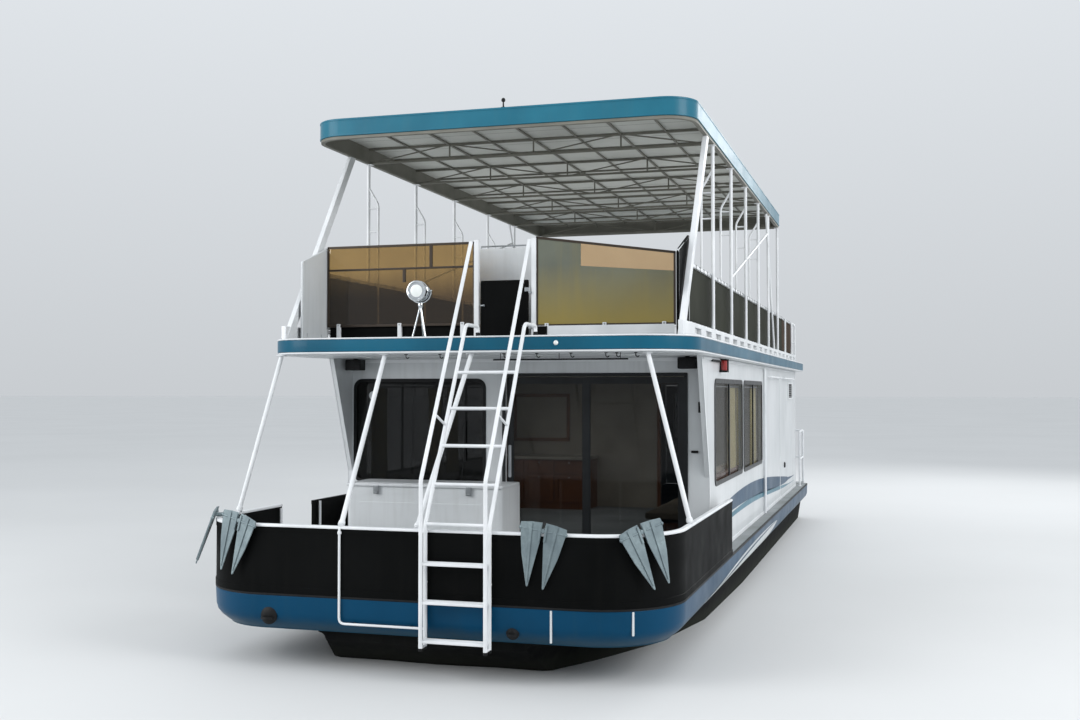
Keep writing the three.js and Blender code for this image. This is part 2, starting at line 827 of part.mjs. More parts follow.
function searchlight() {
  const [x, y, z] = [-480, -5960, 3280];
  const lens = rod([x, y - 108, z], [x, y, z], 92, 12);
  const bowl = ball([x, y, z], 100, 12, 8);
  const top = [x, y, z - 90];
  const legs = [0, 120, 240].map((deg) => {
    const a = THREE.MathUtils.degToRad(deg + 90);
    return rod(top, [x + 75 * Math.cos(a), y + 75 * Math.sin(a), UPPER.top - 20], 9, 6);
  });
  return between(join([lens, bowl, ...legs]), UPPER.top + SEAT, 4000);
}

// Stern

function sternRail() {
  const low = DECK_TOP + SEAT;
  const y = 6545;
  const high = 1620;
  const parts = [];
  for (const side of [-1, 1]) {
    const outer = side * 2050;
    const inner = side * 480;
    for (const z of [1130, high]) {
      parts.push(bentRod([[inner, y, z], [outer, y, z], [outer, 5760, z]], 18));
    }
    for (const x of [inner, side * 1250, outer]) parts.push(rod([x, y, low], [x, y, high], 18));
    parts.push(rod([outer, 5780, low], [outer, 5780, high], 18));
  }
  parts.push(box(-2050, 2050, y - 14, y + 14, low, low + 30));
  return join(parts);
}

function sternLadder() {
  const low = DECK_TOP + SEAT;
  const parts = [];
  for (const x of [-1200, -760]) {
    parts.push(between(rod([x, 6420, 400], [x, 6040, 3500], 19), low, 3460));
    parts.push(rod([x, 6043, 3450], [x, 5960, 3450], 16));
  }
  for (let z = 930; z < 2900; z += 280) {
    const y = 6420 - ((z - 400) / 3100) * 380;
    parts.push(rod([-1200, y, z], [-760, y, z], 14));
  }
  return join(parts);
}

function enginePod() {
  const beam = box(-900, 900, HULL.back + SEAT, 7250, -60, 60);
  const parts = [beam];
  for (const side of [-1, 1]) {
    const x = side * ENGINE.x;
    parts.push(box(x - 150, x + 150, 6900, 7250, -180, 150));
    for (const cheek of [-1, 1]) {
      const at = x + cheek * 110;
      parts.push(box(at - 14, at + 14, 7240, 7362, 130, 232));
    }
  }
  const brace = polygon([
    [HULL.back + SEAT, -60],
    [HULL.back + SEAT, -300],
    [6640, -300],
    [7150, -60],
  ]);
  for (const x of [-760, 0, 760]) parts.push(prism(brace, "x", x - 30, x + 30));
  return join(parts);
}

function swivel(side) {
  const x = side * ENGINE.x;
  const { pivotY, pivotZ, steerY } = ENGINE;
  const tiltTube = rod([x - 96 + SEAT, pivotY, pivotZ], [x + 96 - SEAT, pivotY, pivotZ], 22, 12);
  const block = box(x - 55, x + 55, pivotY - 4, pivotY + 62, -120, 236);
  const tongue = (z0, z1) =>
    join([box(x - 38, x + 38, pivotY + 40, steerY, z0, z1), rod([x, steerY, z0], [x, steerY, z1], 38, 12)]);
  return join([tiltTube, block, tongue(206, 236), tongue(-120, -90)]);
}

function outboard(side) {
  const x = side * ENGINE.x;
  const { steerY } = ENGINE;
  const barrel = rod([x, steerY, -90 + SEAT], [x, steerY, 206 - SEAT], 34, 10);
  const web = box(x - 20, x + 20, steerY, steerY + 80, -60, 180);
  const leg = prism(
    polygon([
      [steerY + 52, 330],
      [steerY + 52, -200],
      [steerY + 75, -560],
      [steerY + 60, -700],
      [steerY + 250, -700],
      [steerY + 210, -200],
      [steerY + 300, 330],
    ]),
    "x",
    x - 48,
    x + 48,
  );
  const plate = box(x - 105, x + 105, steerY + 45, steerY + 380, -460, -450);
  const case_ = rod([x, steerY + 10, PROP.z], [x, PROP.y - SEAT, PROP.z], 52, 10);
  const nose = ball([x, steerY + 10, PROP.z], 52, 10, 6);
  const skeg = prism(
    polygon([
      [steerY + 90, PROP.z],
      [steerY + 140, -870],
      [steerY + 250, -870],
      [steerY + 265, PROP.z],
    ]),
    "x",
    x - 7,
    x + 7,
  );
  return join([barrel, web, leg, plate, case_, nose, skeg]);
}

function cowl(side) {
  const x = side * ENGINE.x;
  const y0 = ENGINE.steerY - 20;
  // height, front, back, half width
  const levels = [
    [330 + SEAT, 30, 400, 120],
    [420, 0, 520, 165],
    [600, 10, 530, 172],
    [740, 40, 500, 150],
    [800, 110, 420, 105],
  ];
  const rings = levels.map(([z, front, back, half]) =>
    roundedRect(x - half, x + half, y0 + front, y0 + back, 90)
      .getPoints(2)
      .slice(0, -1)
      .map((p) => [p.x, p.y, z]),
  );
  return loft(rings);
}

function propeller(side) {
  const x = side * ENGINE.x;
  const hub = rod([x, PROP.y, PROP.z], [x, PROP.y + 95, PROP.z], 42, 12);
  const blades = [0, 120, 240].map((deg) => {
    const blade = prism(roundedRect(-52, 52, 20, PROP.radius, 48), "y", -5, 5, 3);
    return blade
      .rotate([0, 0, 28])
      .rotate([0, deg, 0])
      .translate(x, PROP.y + 48, PROP.z);
  });
  return join([hub, ...blades]);
}

// Assembly

add("hull_bottom", hullBottom(), "bottomPaint");
add("hull_topsides", hullTopsides(), "blueGelcoat");
add("main_deck", mainDeck(), "deckCoat");
add("bow_bulwark", bowBulwark(), "blackPanel");
add("bow_bulwark_side", bulwarkBand(BULWARK.gateBack, BULWARK.aftEnd, -1), "blackPanel");
add("bow_rail", bowRail().add(bowTubeFrame()), "whitePaint");

add("cabin_front_wall", frontWall(), "whitePaint");
add("cabin_port_wall", sideWall(1), "whitePaint");
add("cabin_stbd_wall", sideWall(-1), "whitePaint");
add("cabin_stern_wall", sternWall(), "whitePaint");
add("helm_window", helmWindow(), "glass");
add("port_windows", sideWindows(1), "glass");
add("stbd_windows", sideWindows(-1), "glass");
const fixedPanel = doorPanel(DOORWAY.middle - DOOR_PANEL.overlap / 2, DOORWAY.right - SEAT, -4342);
const slidingPanel = doorPanel(DOORWAY.left + RUNNING, DOORWAY.middle + DOOR_PANEL.overlap / 2, -4312);
add("patio_door_fixed", fixedPanel, "darkFrame");
add("patio_door_sliding", slidingPanel, "darkFrame");
add("stern_door", sternDoor(), "whitePaint");
add("bow_locker", lockerBody(), "whitePaint");
add("bow_locker_lid", lockerLid(), "whitePaint");

add("helm_console", helmConsole(), "whitePaint");
add("helm_wheel", helmWheel(), "chrome");
add("saloon_bulkhead", bulkhead(), "wood");
add("galley_counter", galley(), "wood");
add("saloon_sofa", sofa(), "upholstery");

add("upper_deck", upperDeck(), "whitePaint");
add("upper_fascia", fascia(), "tealPaint");
BOW_STRUTS.forEach((row, i) => add("bow_strut_" + (i + 1), bowStrut(row), "whitePaint"));
add("bow_ladder", bowLadder(), "whitePaint");
for (const [name, sizes] of Object.entries(SCREENS)) add(name, windscreen(sizes), "smokedAcrylic");
add("screen_wing_port", wing(1), "whitePaint");
add("screen_wing_stbd", wing(-1), "whitePaint");
add("upper_gate", upperGate(), "blackPanel");
add("fly_console", flyConsole(), "whitePaint");

add("side_frame_port", sideFrame(1), "whitePaint");
add("side_frame_stbd", sideFrame(-1), "whitePaint");
add("rail_cloth_port", railCloth(1), "cloth");
add("rail_cloth_stbd", railCloth(-1), "cloth");
add("upper_stern_rail", sternRailUpper(), "whitePaint");
add("canopy_frame", canopyFrame(), "underside");
add("canopy_fascia", ring(CANOPY, CANOPY_Z.fascia, CANOPY_Z.top, 0, 36), "tealPaint");
add("canopy_roof", slab(CANOPY, CANOPY_Z.chord + SEAT, CANOPY_Z.roof, 36 + SEAT), "underside");
ANCHORS.forEach((row, i) => add("anchor_" + (i + 1), anchor(row), "galvanised"));
add("searchlight", searchlight(), "chrome");

add("stern_rail", sternRail(), "whitePaint");
add("stern_ladder", sternLadder(), "whitePaint");
add("engine_pod", enginePod(), "whitePaint");
for (const [name, side] of [["port", 1], ["stbd", -1]]) {
  add("engine_swivel_" + name, swivel(side), "engineGrey");
  add("engine_leg_" + name, outboard(side), "engineGrey");
  add("engine_cowl_" + name, cowl(side), "engineGrey");
  add("propeller_" + name, propeller(side), "engineGrey");
}

export default root;
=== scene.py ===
"""The looks of a lake houseboat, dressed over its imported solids.

Metres. +Z up, the bow towards -Y, the port side towards +X, and z = 0 is the waterline, where
the studio floor lies. Every piece is modelled at its own place, so its object stays at the origin.
"""

import logging
import math
from collections.abc import Iterator, Sequence
from contextlib import contextmanager
from dataclasses import dataclass, replace
from enum import Enum

import bpy
from mathutils import Matrix, Vector


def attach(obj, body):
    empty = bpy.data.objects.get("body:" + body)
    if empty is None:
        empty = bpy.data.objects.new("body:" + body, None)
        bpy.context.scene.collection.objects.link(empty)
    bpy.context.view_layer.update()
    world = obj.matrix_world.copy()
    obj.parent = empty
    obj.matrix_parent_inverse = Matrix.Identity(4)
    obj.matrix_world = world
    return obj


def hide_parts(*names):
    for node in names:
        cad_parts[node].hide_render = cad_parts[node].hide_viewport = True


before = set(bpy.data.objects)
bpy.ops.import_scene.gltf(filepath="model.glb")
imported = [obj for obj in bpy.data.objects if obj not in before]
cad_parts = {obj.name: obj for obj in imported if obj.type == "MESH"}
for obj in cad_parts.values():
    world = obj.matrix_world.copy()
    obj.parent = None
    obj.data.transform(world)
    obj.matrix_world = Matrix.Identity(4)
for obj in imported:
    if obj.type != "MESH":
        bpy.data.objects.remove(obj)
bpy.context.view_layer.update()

LOG = logging.getLogger("houseboat")

Point = tuple[float, float, float]
Flat = tuple[float, float]
Piece = bpy.types.Object
Socket = bpy.types.NodeSocket

SIDES = {"port": 1, "stbd": -1}


# Selecting and editing


def deselect() -> None:
    """Deselects everything, because an operator acts on all that is selected."""
    for each in list(bpy.context.selected_objects):
        each.select_set(False)


def take(obj: Piece) -> None:
    """Makes one object the only selected and the active one.

    Args:
        obj: the object.
    """
    deselect()
    obj.select_set(True)
    bpy.context.view_layer.objects.active = obj


@contextmanager
def shaping(obj: Piece) -> Iterator[None]:
    """Opens edit mode on one object with all of it selected, and closes it again.

    Args:
        obj: the object.
    """
    take(obj)
    bpy.ops.object.mode_set(mode="EDIT")
    bpy.ops.mesh.select_all(action="SELECT")
    yield
    bpy.ops.object.mode_set(mode="OBJECT")


def settle(obj: Piece) -> Piece:
    """Puts an object's place, turn and size into its mesh.

    Args:
        obj: the object.

    Returns:
        The same object.
    """
    take(obj)
    bpy.ops.object.transform_apply(location=True, rotation=True, scale=True)
    return obj


def copy_of(obj: Piece, matrix: Matrix) -> Piece:
    """Copies an object with its own mesh and moves the copy.

    Args:
        obj: the finished shape.
        matrix: where the copy goes; a mirroring one has its faces turned out again.

    Returns:
        The copy, settled at its place.
    """
    take(obj)
    bpy.ops.object.duplicate()
    made = bpy.context.object
    made.matrix_world = matrix @ made.matrix_world
    settle(made)
    if matrix.determinant() < 0:
        with shaping(made):
            bpy.ops.mesh.normals_make_consistent(inside=False)
    return made


def mirrored(obj: Piece) -> Piece:
    """Copies an object to the other side of the boat."""
    return copy_of(obj, Matrix.Diagonal((-1, 1, 1, 1)))


def joined(parts: Sequence[Piece]) -> Piece:
    """Joins shapes to one object.

    Args:
        parts: the shapes, of which the first takes in the others.

    Returns:
        The one object.
    """
    deselect()
    for part in parts:
        part.select_set(True)
    bpy.context.view_layer.objects.active = parts[0]
    if len(parts) > 1:
        bpy.ops.object.join()
    return parts[0]


# Outlines and paths


class Axis(Enum):
    """The axis a flat outline is pulled along; its two numbers are the other axes in order."""

    X = (0, 1, 2)
    Y = (1, 0, 2)
    Z = (2, 0, 1)

    def spot(self, along: float, a: float, b: float) -> Point:
        """Turns a place on the outline into a point of the boat.

        Args:
            along: the place on this axis.
            a: the outline's first number.
            b: its second.

        Returns:
            The point.
        """
        out = [0.0, 0.0, 0.0]
        out[self.value[0]], out[self.value[1]], out[self.value[2]] = along, a, b
        return tuple(out)


def arc(centre: Flat, radius: float, start: float, end: float, steps: int) -> list[Flat]:
    """Points on an arc, in degrees, with both ends."""
    turns = [math.radians(start + (end - start) * k / steps) for k in range(steps + 1)]
    return [(centre[0] + radius * math.cos(t), centre[1] + radius * math.sin(t)) for t in turns]


def rounded_rect(
    a0: float, a1: float, b0: float, b1: float, r: float, steps: int = 5
) -> list[Flat]:
    """The outline of a rectangle with round corners, anticlockwise.

    Args:
        a0: one end of the first axis.
        a1: the other.
        b0: one end of the second axis.
        b1: the other.
        r: the corners' radius.
        steps: how many faces each corner has.

    Returns:
        The outline.
    """
    return [
        *arc((a1 - r, b0 + r), r, -90, 0, steps),
        *arc((a1 - r, b1 - r), r, 0, 90, steps),
        *arc((a0 + r, b1 - r), r, 90, 180, steps),
        *arc((a0 + r, b0 + r), r, 180, 270, steps),
    ]


@dataclass(frozen=True)
class Opening:
    """A rectangular opening, whose outline is wanted a little inside or outside its edge."""

    a0: float
    a1: float
    b0: float
    b1: float

    def outline(self, inset: float, radius: float, steps: int = 5) -> list[Flat]:
        """The outline with round corners, moved inward, or outward by a negative inset."""
        return rounded_rect(
            self.a0 + inset, self.a1 - inset, self.b0 + inset, self.b1 - inset, radius, steps
        )


@dataclass(frozen=True)
class Plan:
    """A deck seen from above: its half width, its ends and the radii of its corners."""

    half: float
    front: float
    back: float
    front_radius: float
    back_radius: float

    def outline(self, inset: float = 0.0, steps: int = 12) -> list[Flat]:
        """The closed outline, anticlockwise from the port end of the straight front.

        Args:
            inset: how far inside the plan's edge the outline runs.
            steps: how many faces each corner has.

        Returns:
            The outline.
        """
        x, front, back = self.half - inset, self.front + inset, self.back - inset
        rf, rb = max(self.front_radius - inset, 0.002), max(self.back_radius - inset, 0.002)
        return [
            *arc((x - rf, front + rf), rf, -90, 0, steps),
            *arc((x - rb, back - rb), rb, 0, 90, max(3, steps // 2)),
            *arc((rb - x, back - rb), rb, 90, 180, max(3, steps // 2)),
            *arc((rf - x, front + rf), rf, 180, 270, steps),
        ]


def round_bends(path: Sequence[Point], bend: float, steps: int = 5) -> list[Vector]:
    """Replaces each corner of a path by an arc that touches both its legs.

    Args:
        path: the path's points.
        bend: the radius of the bends.
        steps: how many faces each bend has.

    Returns:
        The path with its bends.
    """
    points = [Vector(p) for p in path]
    out = [points[0]]
    for before, corner, after in zip(points, points[1:], points[2:]):
        to_before, to_after = (before - corner).normalized(), (after - corner).normalized()
        half_angle = to_before.angle(to_after) / 2
        reach = min(
            bend / max(math.tan(half_angle), 1e-3),
            0.45 * (before - corner).length,
            0.45 * (after - corner).length,
        )
        start, end = corner + to_before * reach, corner + to_after * reach
        for k in range(steps + 1):
            t = k / steps
            out.append(start * (1 - t) ** 2 + corner * 2 * t * (1 - t) + end * t**2)
    return [*out, points[-1]]


# Making shapes


def rounded(obj: Piece, width: float, steps: int = 2, angle: float = 35.0) -> Piece:
    """Rounds the edges of a shape that turn more than an angle in degrees.

    Args:
        obj: the shape.
        width: how far its edges are rounded.
        steps: how many faces each edge gets.
        angle: the angle above which an edge is rounded.

    Returns:
        The same shape.
    """
    cutter = obj.modifiers.new("edges", "BEVEL")
    cutter.width = width
    cutter.segments = steps
    cutter.limit_method = "ANGLE"
    cutter.angle_limit = math.radians(angle)
    take(obj)
    bpy.ops.object.modifier_apply(modifier=cutter.name)
    return obj


def block(low: Point, high: Point, edge: float = 0.004, steps: int = 2) -> Piece:
    """A solid box between two corners with its edges rounded.

    Args:
        low: one corner.
        high: the opposite corner.
        edge: how far its edges are rounded.
        steps: how many faces each edge gets.

    Returns:
        The box.
    """
    low_v, high_v = Vector(map(min, low, high)), Vector(map(max, low, high))
    deselect()
    bpy.ops.mesh.primitive_cube_add(size=1, location=(low_v + high_v) / 2, scale=high_v - low_v)
    made = settle(bpy.context.object)
    return rounded(made, min(edge, 0.4 * min(high_v - low_v)), steps)


def plate(
    outline: Sequence[Flat], axis: Axis, start: float, end: float, edge: float = 0.0
) -> Piece:
    """A sheet cut to an outline and pulled to its thickness.

    Args:
        outline: the closed outline in the two other axes.
        axis: the axis of the thickness.
        start: where the sheet starts on that axis.
        end: where it ends.
        edge: how far its edges are rounded; 0 leaves them sharp.

    Returns:
        The sheet.
    """
    deselect()
    bpy.ops.mesh.primitive_circle_add(vertices=len(outline), fill_type="NGON")
    made = bpy.context.object
    for vertex, (a, b) in zip(made.data.vertices, outline):
        vertex.co = axis.spot(start, a, b)
    with shaping(made):
        pull = {"value": axis.spot(end - start, 0.0, 0.0)}
        bpy.ops.mesh.extrude_region_move(TRANSFORM_OT_translate=pull)
        bpy.ops.mesh.select_all(action="SELECT")
        bpy.ops.mesh.normals_make_consistent(inside=False)
    return rounded(made, edge) if edge else made


def skin(rings: Sequence[Sequence[Point]], closed: bool = True, capped: bool = True) -> Piece:
    """A grid wrapped over rings of points.

    Args:
        rings: rings or lines of the same number of points.
        closed: True where each ring closes on itself.
        capped: True where the first and last ring are filled.

    Returns:
        The wrapped shape.
    """
    rows = [[*ring, ring[0]] if closed else list(ring) for ring in rings]
    wide, tall = len(rows[0]), len(rows)
    deselect()
    bpy.ops.mesh.primitive_grid_add(x_subdivisions=wide - 1, y_subdivisions=tall - 1)
    made = bpy.context.object
    flat = [point for row in rows for point in row]
    for vertex, point in zip(made.data.vertices, flat):
        vertex.co = point
    if closed:
        with shaping(made):
            bpy.ops.mesh.remove_doubles(threshold=1e-6)
            if capped:
                bpy.ops.mesh.select_all(action="DESELECT")
                bpy.ops.mesh.select_non_manifold(extend=False)
                bpy.ops.mesh.fill_holes(sides=0)
            bpy.ops.mesh.select_all(action="SELECT")
            bpy.ops.mesh.normals_make_consistent(inside=False)
    return made


def run_along(path: Sequence[Flat], section: Sequence[Flat], closed: bool = True) -> Piece:
    """A profile swept along a path that lies level.

    Args:
        path: the path seen from above, anticlockwise round the boat.
        section: the profile as (distance outward, height).
        closed: True where the path comes back to its start.

    Returns:
        The swept shape.
    """
    count = len(path)
    rings = []
    for k, here in enumerate(path):
        before = path[(k - 1) % count] if closed or k else here
        after = path[(k + 1) % count] if closed or k < count - 1 else here
        along = Vector(after) - Vector(before)
        out = Vector((along.y, -along.x)).normalized()
        legs = [(Vector(here) - Vector(before)), (Vector(after) - Vector(here))]
        turn = legs[0].angle(legs[1], 0.0) if min(leg.length for leg in legs) > 1e-6 else 0.0
        reach = 1 / max(math.cos(turn / 2), 0.5)
        rings.append([
            (here[0] + out.x * d * reach, here[1] + out.y * d * reach, z) for d, z in section
        ])
    if closed:
        rings.append(rings[0])
    return skin(rings, closed=True, capped=not closed)


def tube(
    paths: Sequence[Sequence[Point]], radius: float, bend: float = 0.06, around: int = 12
) -> Piece:
    """Round bars along paths, with each corner bent on a radius.

    Args:
        paths: one list of points for each bar.
        radius: the bar's radius.
        bend: the radius of its bends.
        around: how many faces go round it.

    Returns:
        The bars as one shape.
    """
    curve = bpy.data.curves.new("bar", "CURVE")
    curve.dimensions = "3D"
    curve.bevel_depth = radius
    curve.bevel_resolution = (around - 4) // 2
    curve.use_fill_caps = True
    for path in paths:
        points = round_bends(path, bend)
        spline = curve.splines.new("POLY")
        spline.points.add(len(points) - 1)
        for spot, point in zip(spline.points, points):
            spot.co = (*point, 1.0)
    made = bpy.data.objects.new("bar", curve)
    bpy.context.collection.objects.link(made)
    take(made)
    bpy.ops.object.convert(target="MESH")
    return bpy.context.object


def turned(
    profile: Sequence[Flat], foot: Point, towards: Point = (0, 0, 1), around: int = 24
) -> Piece:
    """A shape turned on a lathe.

    Args:
        profile: rows of (distance along the axis, radius), closed by flat ends.
        foot: the point at distance 0.
        towards: the direction of the axis.
        around: how many faces go round it.

    Returns:
        The turned shape.
    """
    turns = [math.tau * k / around for k in range(around)]
    rings = [[(r * math.cos(t), r * math.sin(t), z) for t in turns] for z, r in profile]
    made = skin(rings)
    turn = Vector((0, 0, 1)).rotation_difference(Vector(towards)).to_matrix().to_4x4()
    made.matrix_world = Matrix.Translation(foot) @ turn
    return settle(made)


def thickened(obj: Piece, thickness: float) -> Piece:
    """Gives a sheet its thickness.

    Args:
        obj: the sheet.
        thickness: how thick it gets, towards its back.

    Returns:
        The sheet as a closed solid.
    """
    obj.modifiers.new("thickness", "SOLIDIFY").thickness = thickness
    take(obj)
    bpy.ops.object.modifier_apply(modifier="thickness")
    return obj


def bolt(at: Point, towards: Point, radius: float = 0.007) -> Piece:
    """A dome-headed screw with its washer, seated on a face.

    Args:
        at: the spot on the face.
        towards: the way the face looks.
        radius: the head's radius.

    Returns:
        The screw.
    """
    height = radius * 0.8
    profile = [
        (0.0, radius * 1.5),
        (height * 0.3, radius * 1.5),
        (height * 0.35, radius),
        (height * 0.9, radius * 0.75),
        (height * 1.2, radius * 0.3),
    ]
    return turned(profile, at, towards, 10)


# Finishes


def linear(hex_colour: str) -> tuple[float, float, float, float]:
    """Turns an sRGB hex colour into Blender's linear colour."""
    parts = [int(hex_colour[k : k + 2], 16) / 255 for k in (1, 3, 5)]
    return (*[p / 12.92 if p <= 0.04045 else ((p + 0.055) / 1.055) ** 2.4 for p in parts], 1.0)


Tree = bpy.types.NodeTree
Colour = tuple[float, float, float, float]


def put(
    tree: Tree, kind: str, settings: dict, links: dict | None = None, out: int | str = 0
) -> Socket:
    """Adds one node.

    Args:
        tree: the material's node tree.
        kind: Blender's name for the node, without its ShaderNode.
        settings: values by the name or number of an input, or by the name of a property.
        links: sources by the name or number of the input they feed.
        out: the name or number of the output that is wanted.

    Returns:
        The output.
    """
    node = tree.nodes.new("ShaderNode" + kind)
    for key, value in settings.items():
        if isinstance(key, int) or key in node.inputs:
            node.inputs[key].default_value = value
        else:
            setattr(node, key, value)
    for key, source in (links or {}).items():
        tree.links.new(source, node.inputs[key])
    return node.outputs[out]


class Out:
    """Numbers of the colour sockets on a Mix node."""

    FACTOR, A, B, RESULT = 0, 6, 7, 2


@dataclass(frozen=True)
class Finish:
    """A painted or moulded surface: two tones in soft patches, with a fine relief.

    The patch and grain sizes are in metres, the depth is how deep the grain goes, and the slot
    is the material slot of the record that the finish mostly stands for.
    """

    name: str
    base: str
    second: str
    patch: float = 0.5
    roughness: float = 0.45
    spread: float = 0.12
    grain: float = 0.004
    depth: float = 0.0002
    metallic: float = 0.0
    coat: float = 0.0
    alpha: float = 1.0
    clear: float = 0.0
    specular: float = 0.5
    slot: str = ""

    def colour(self, tree: Tree, where: Socket) -> Socket:
        """Mixes the two tones in patches.

        Args:
            tree: the material's node tree.
            where: the place on the object.

        Returns:
            The colour.
        """
        cloud = put(tree, "TexNoise", {"Scale": 1 / self.patch, "Detail": 6.0}, {"Vector": where})
        share = put(tree, "MapRange", {"From Min": 0.35, "From Max": 0.68}, {"Value": cloud})
        return self.blend(tree, share, linear(self.base), linear(self.second))

    def blend(
        self, tree: Tree, share: Socket, first: Socket | Colour, second: Socket | Colour
    ) -> Socket:
        """Mixes two colours by a share.

        Args:
            tree: the material's node tree.
            share: how much of the second shows.
            first: a socket or a linear colour.
            second: another.

        Returns:
            The mixed colour.
        """
        settings, links = {"data_type": "RGBA"}, {Out.FACTOR: share}
        for key, value in ((Out.A, first), (Out.B, second)):
            (settings if isinstance(value, tuple) else links)[key] = value
        return put(tree, "Mix", settings, links, Out.RESULT)

    def relief(self, tree: Tree, where: Socket) -> Socket:
        """The height that the light picks out: an even fine grain."""
        return put(tree, "TexNoise", {"Scale": 1 / self.grain, "Detail": 3.0}, {"Vector": where})

    def make(self) -> bpy.types.Material:
        """Builds the material once and gives it back after that.

        Returns:
            The material.
        """
        known = bpy.data.materials.get(self.name)
        if known:
            return known
        made = bpy.data.materials.new(self.name)
        made.use_nodes = True
        tree = made.node_tree
        shader = tree.nodes["Principled BSDF"]
        where = put(tree, "TexCoord", {}, out="Object")
        wear = put(tree, "TexNoise", {"Scale": 2.2 / self.patch, "Detail": 8.0}, {"Vector": where})
        limits = {
            "To Min": self.roughness - self.spread / 2, "To Max": self.roughness + self.spread
        }
        gloss = put(tree, "MapRange", limits, {"Value": wear})
        height = self.relief(tree, where)
        bump = put(tree, "Bump", {"Strength": 0.6, "Distance": self.depth}, {"Height": height})
        tree.links.new(self.colour(tree, where), shader.inputs["Base Color"])
        tree.links.new(gloss, shader.inputs["Roughness"])
        tree.links.new(bump, shader.inputs["Normal"])
        for socket, value in (
            ("Metallic", self.metallic), ("Coat Weight", self.coat), ("Alpha", self.alpha),
            ("Transmission Weight", self.clear), ("Specular IOR Level", self.specular),
        ):
            shader.inputs[socket].default_value = value
        return made


@dataclass(frozen=True)
class Weathered(Finish):
    """A painted surface with rain streaks down it and a second tone below a height.

    That tone is grime on most surfaces, and painted light and shade on the port windscreen's pane.
    The amount is how strong the streaks are, and the tone fades out between low and high.
    """

    dirt_and_shade_tone: str = "#6f6a5c"
    amount: float = 0.25
    low: float = -10.0
    high: float = -9.0

    def colour(self, tree: Tree, where: Socket) -> Socket:
        """Lays streaks and a low tone over the paint: a waterline mark on most surfaces, painted
        light and shade on the port windscreen's pane.

        Args:
            tree: the material's node tree.
            where: the place on the object.

        Returns:
            The colour.
        """
        paint = super().colour(tree, where)
        squash = put(tree, "Mapping", {"Scale": (9.0, 9.0, 0.7)}, {"Vector": where})
        rain = put(tree, "TexNoise", {"Scale": 1.6, "Detail": 7.0}, {"Vector": squash})
        drops = {"From Min": 0.5, "From Max": 0.78, "To Max": self.amount}
        streak = put(tree, "MapRange", drops, {"Value": rain})
        streaked = self.blend(tree, streak, paint, linear(self.dirt_and_shade_tone))
        height = put(tree, "SeparateXYZ", {}, {"Vector": where}, "Z")
        ragged = put(tree, "Math", {"operation": "MULTIPLY", 1: 0.09}, {0: rain})
        level = put(tree, "Math", {"operation": "SUBTRACT"}, {0: height, 1: ragged})
        fade = {"From Min": self.low, "From Max": self.high, "To Min": 0.85, "To Max": 0.0}
        tide_and_shade = put(tree, "MapRange", fade, {"Value": level})
        return self.blend(tree, tide_and_shade, streaked, linear(self.dirt_and_shade_tone))


@dataclass(frozen=True)
class Woven(Finish):
    """A plain weave whose threads cross at a spacing in metres."""

    thread: float = 0.004

    def threads(self, tree: Tree, where: Socket) -> Socket:
        """The height of two sets of threads that cross.

        Args:
            tree: the material's node tree.
            where: the place on the object.

        Returns:
            The height.
        """
        laid = put(tree, "Mapping", {}, {"Vector": where})
        size = {"wave_profile": "SIN", "Scale": 0.5 / self.thread / math.pi, "Distortion": 0.3}
        warp, weft = [
            put(tree, "TexWave", {"bands_direction": way, **size}, {"Vector": laid}, "Fac")
            for way in ("DIAGONAL", "Z")
        ]
        return put(tree, "Math", {"operation": "MAXIMUM"}, {0: warp, 1: weft})

    def colour(self, tree: Tree, where: Socket) -> Socket:
        """Paints shade into the gaps between the threads.

        Args:
            tree: the material's node tree.
            where: the place on the object.

        Returns:
            The colour.
        """
        cloth = super().colour(tree, where)
        # Painted shade: the gaps between the threads are darkened towards black.
        depth = {"From Min": 0.2, "From Max": 0.8, "To Min": 0.45, "To Max": 0.0}
        gap = put(tree, "MapRange", depth, {"Value": self.threads(tree, where)})
        return self.blend(tree, gap, cloth, (0.01, 0.01, 0.01, 1.0))

    def relief(self, tree: Tree, where: Socket) -> Socket:
        """The threads stand up."""
        return self.threads(tree, where)


@dataclass(frozen=True)
class Wooden(Finish):
    """Varnished wood with its grain upright; the grain width is in metres."""

    width: float = 0.03

    def colour(self, tree: Tree, where: Socket) -> Socket:
        """Long bands of early and late wood, bent by a slow noise.

        Args:
            tree: the material's node tree.
            where: the place on the object.

        Returns:
            The colour.
        """
        stretch = put(tree, "Mapping", {"Scale": (1.0, 1.0, 0.06)}, {"Vector": where})
        bands = {"Scale": 0.35 / self.width, "Distortion": 9.0, "Detail": 4.0, "Detail Scale": 1.6}
        rings = put(tree, "TexWave", bands, {"Vector": stretch}, "Fac")
        return self.blend(tree, rings, linear(self.base), linear(self.second))


@dataclass(frozen=True)
class Spangled(Finish):
    """Hot-dip zinc, whose crystals show as flakes of two greys."""

    flake: float = 0.018

    def colour(self, tree: Tree, where: Socket) -> Socket:
        """Flat flakes over the soft patches.

        Args:
            tree: the material's node tree.
            where: the place on the object.

        Returns:
            The colour.
        """
        patches = super().colour(tree, where)
        flakes = put(tree, "TexVoronoi", {"Scale": 1 / self.flake}, {"Vector": where}, "Color")
        tone = put(tree, "SeparateColor", {}, {"Color": flakes}, "Red")
        share = put(tree, "Math", {"operation": "MULTIPLY", 1: 0.5}, {0: tone})
        return self.blend(tree, share, patches, linear(self.second))


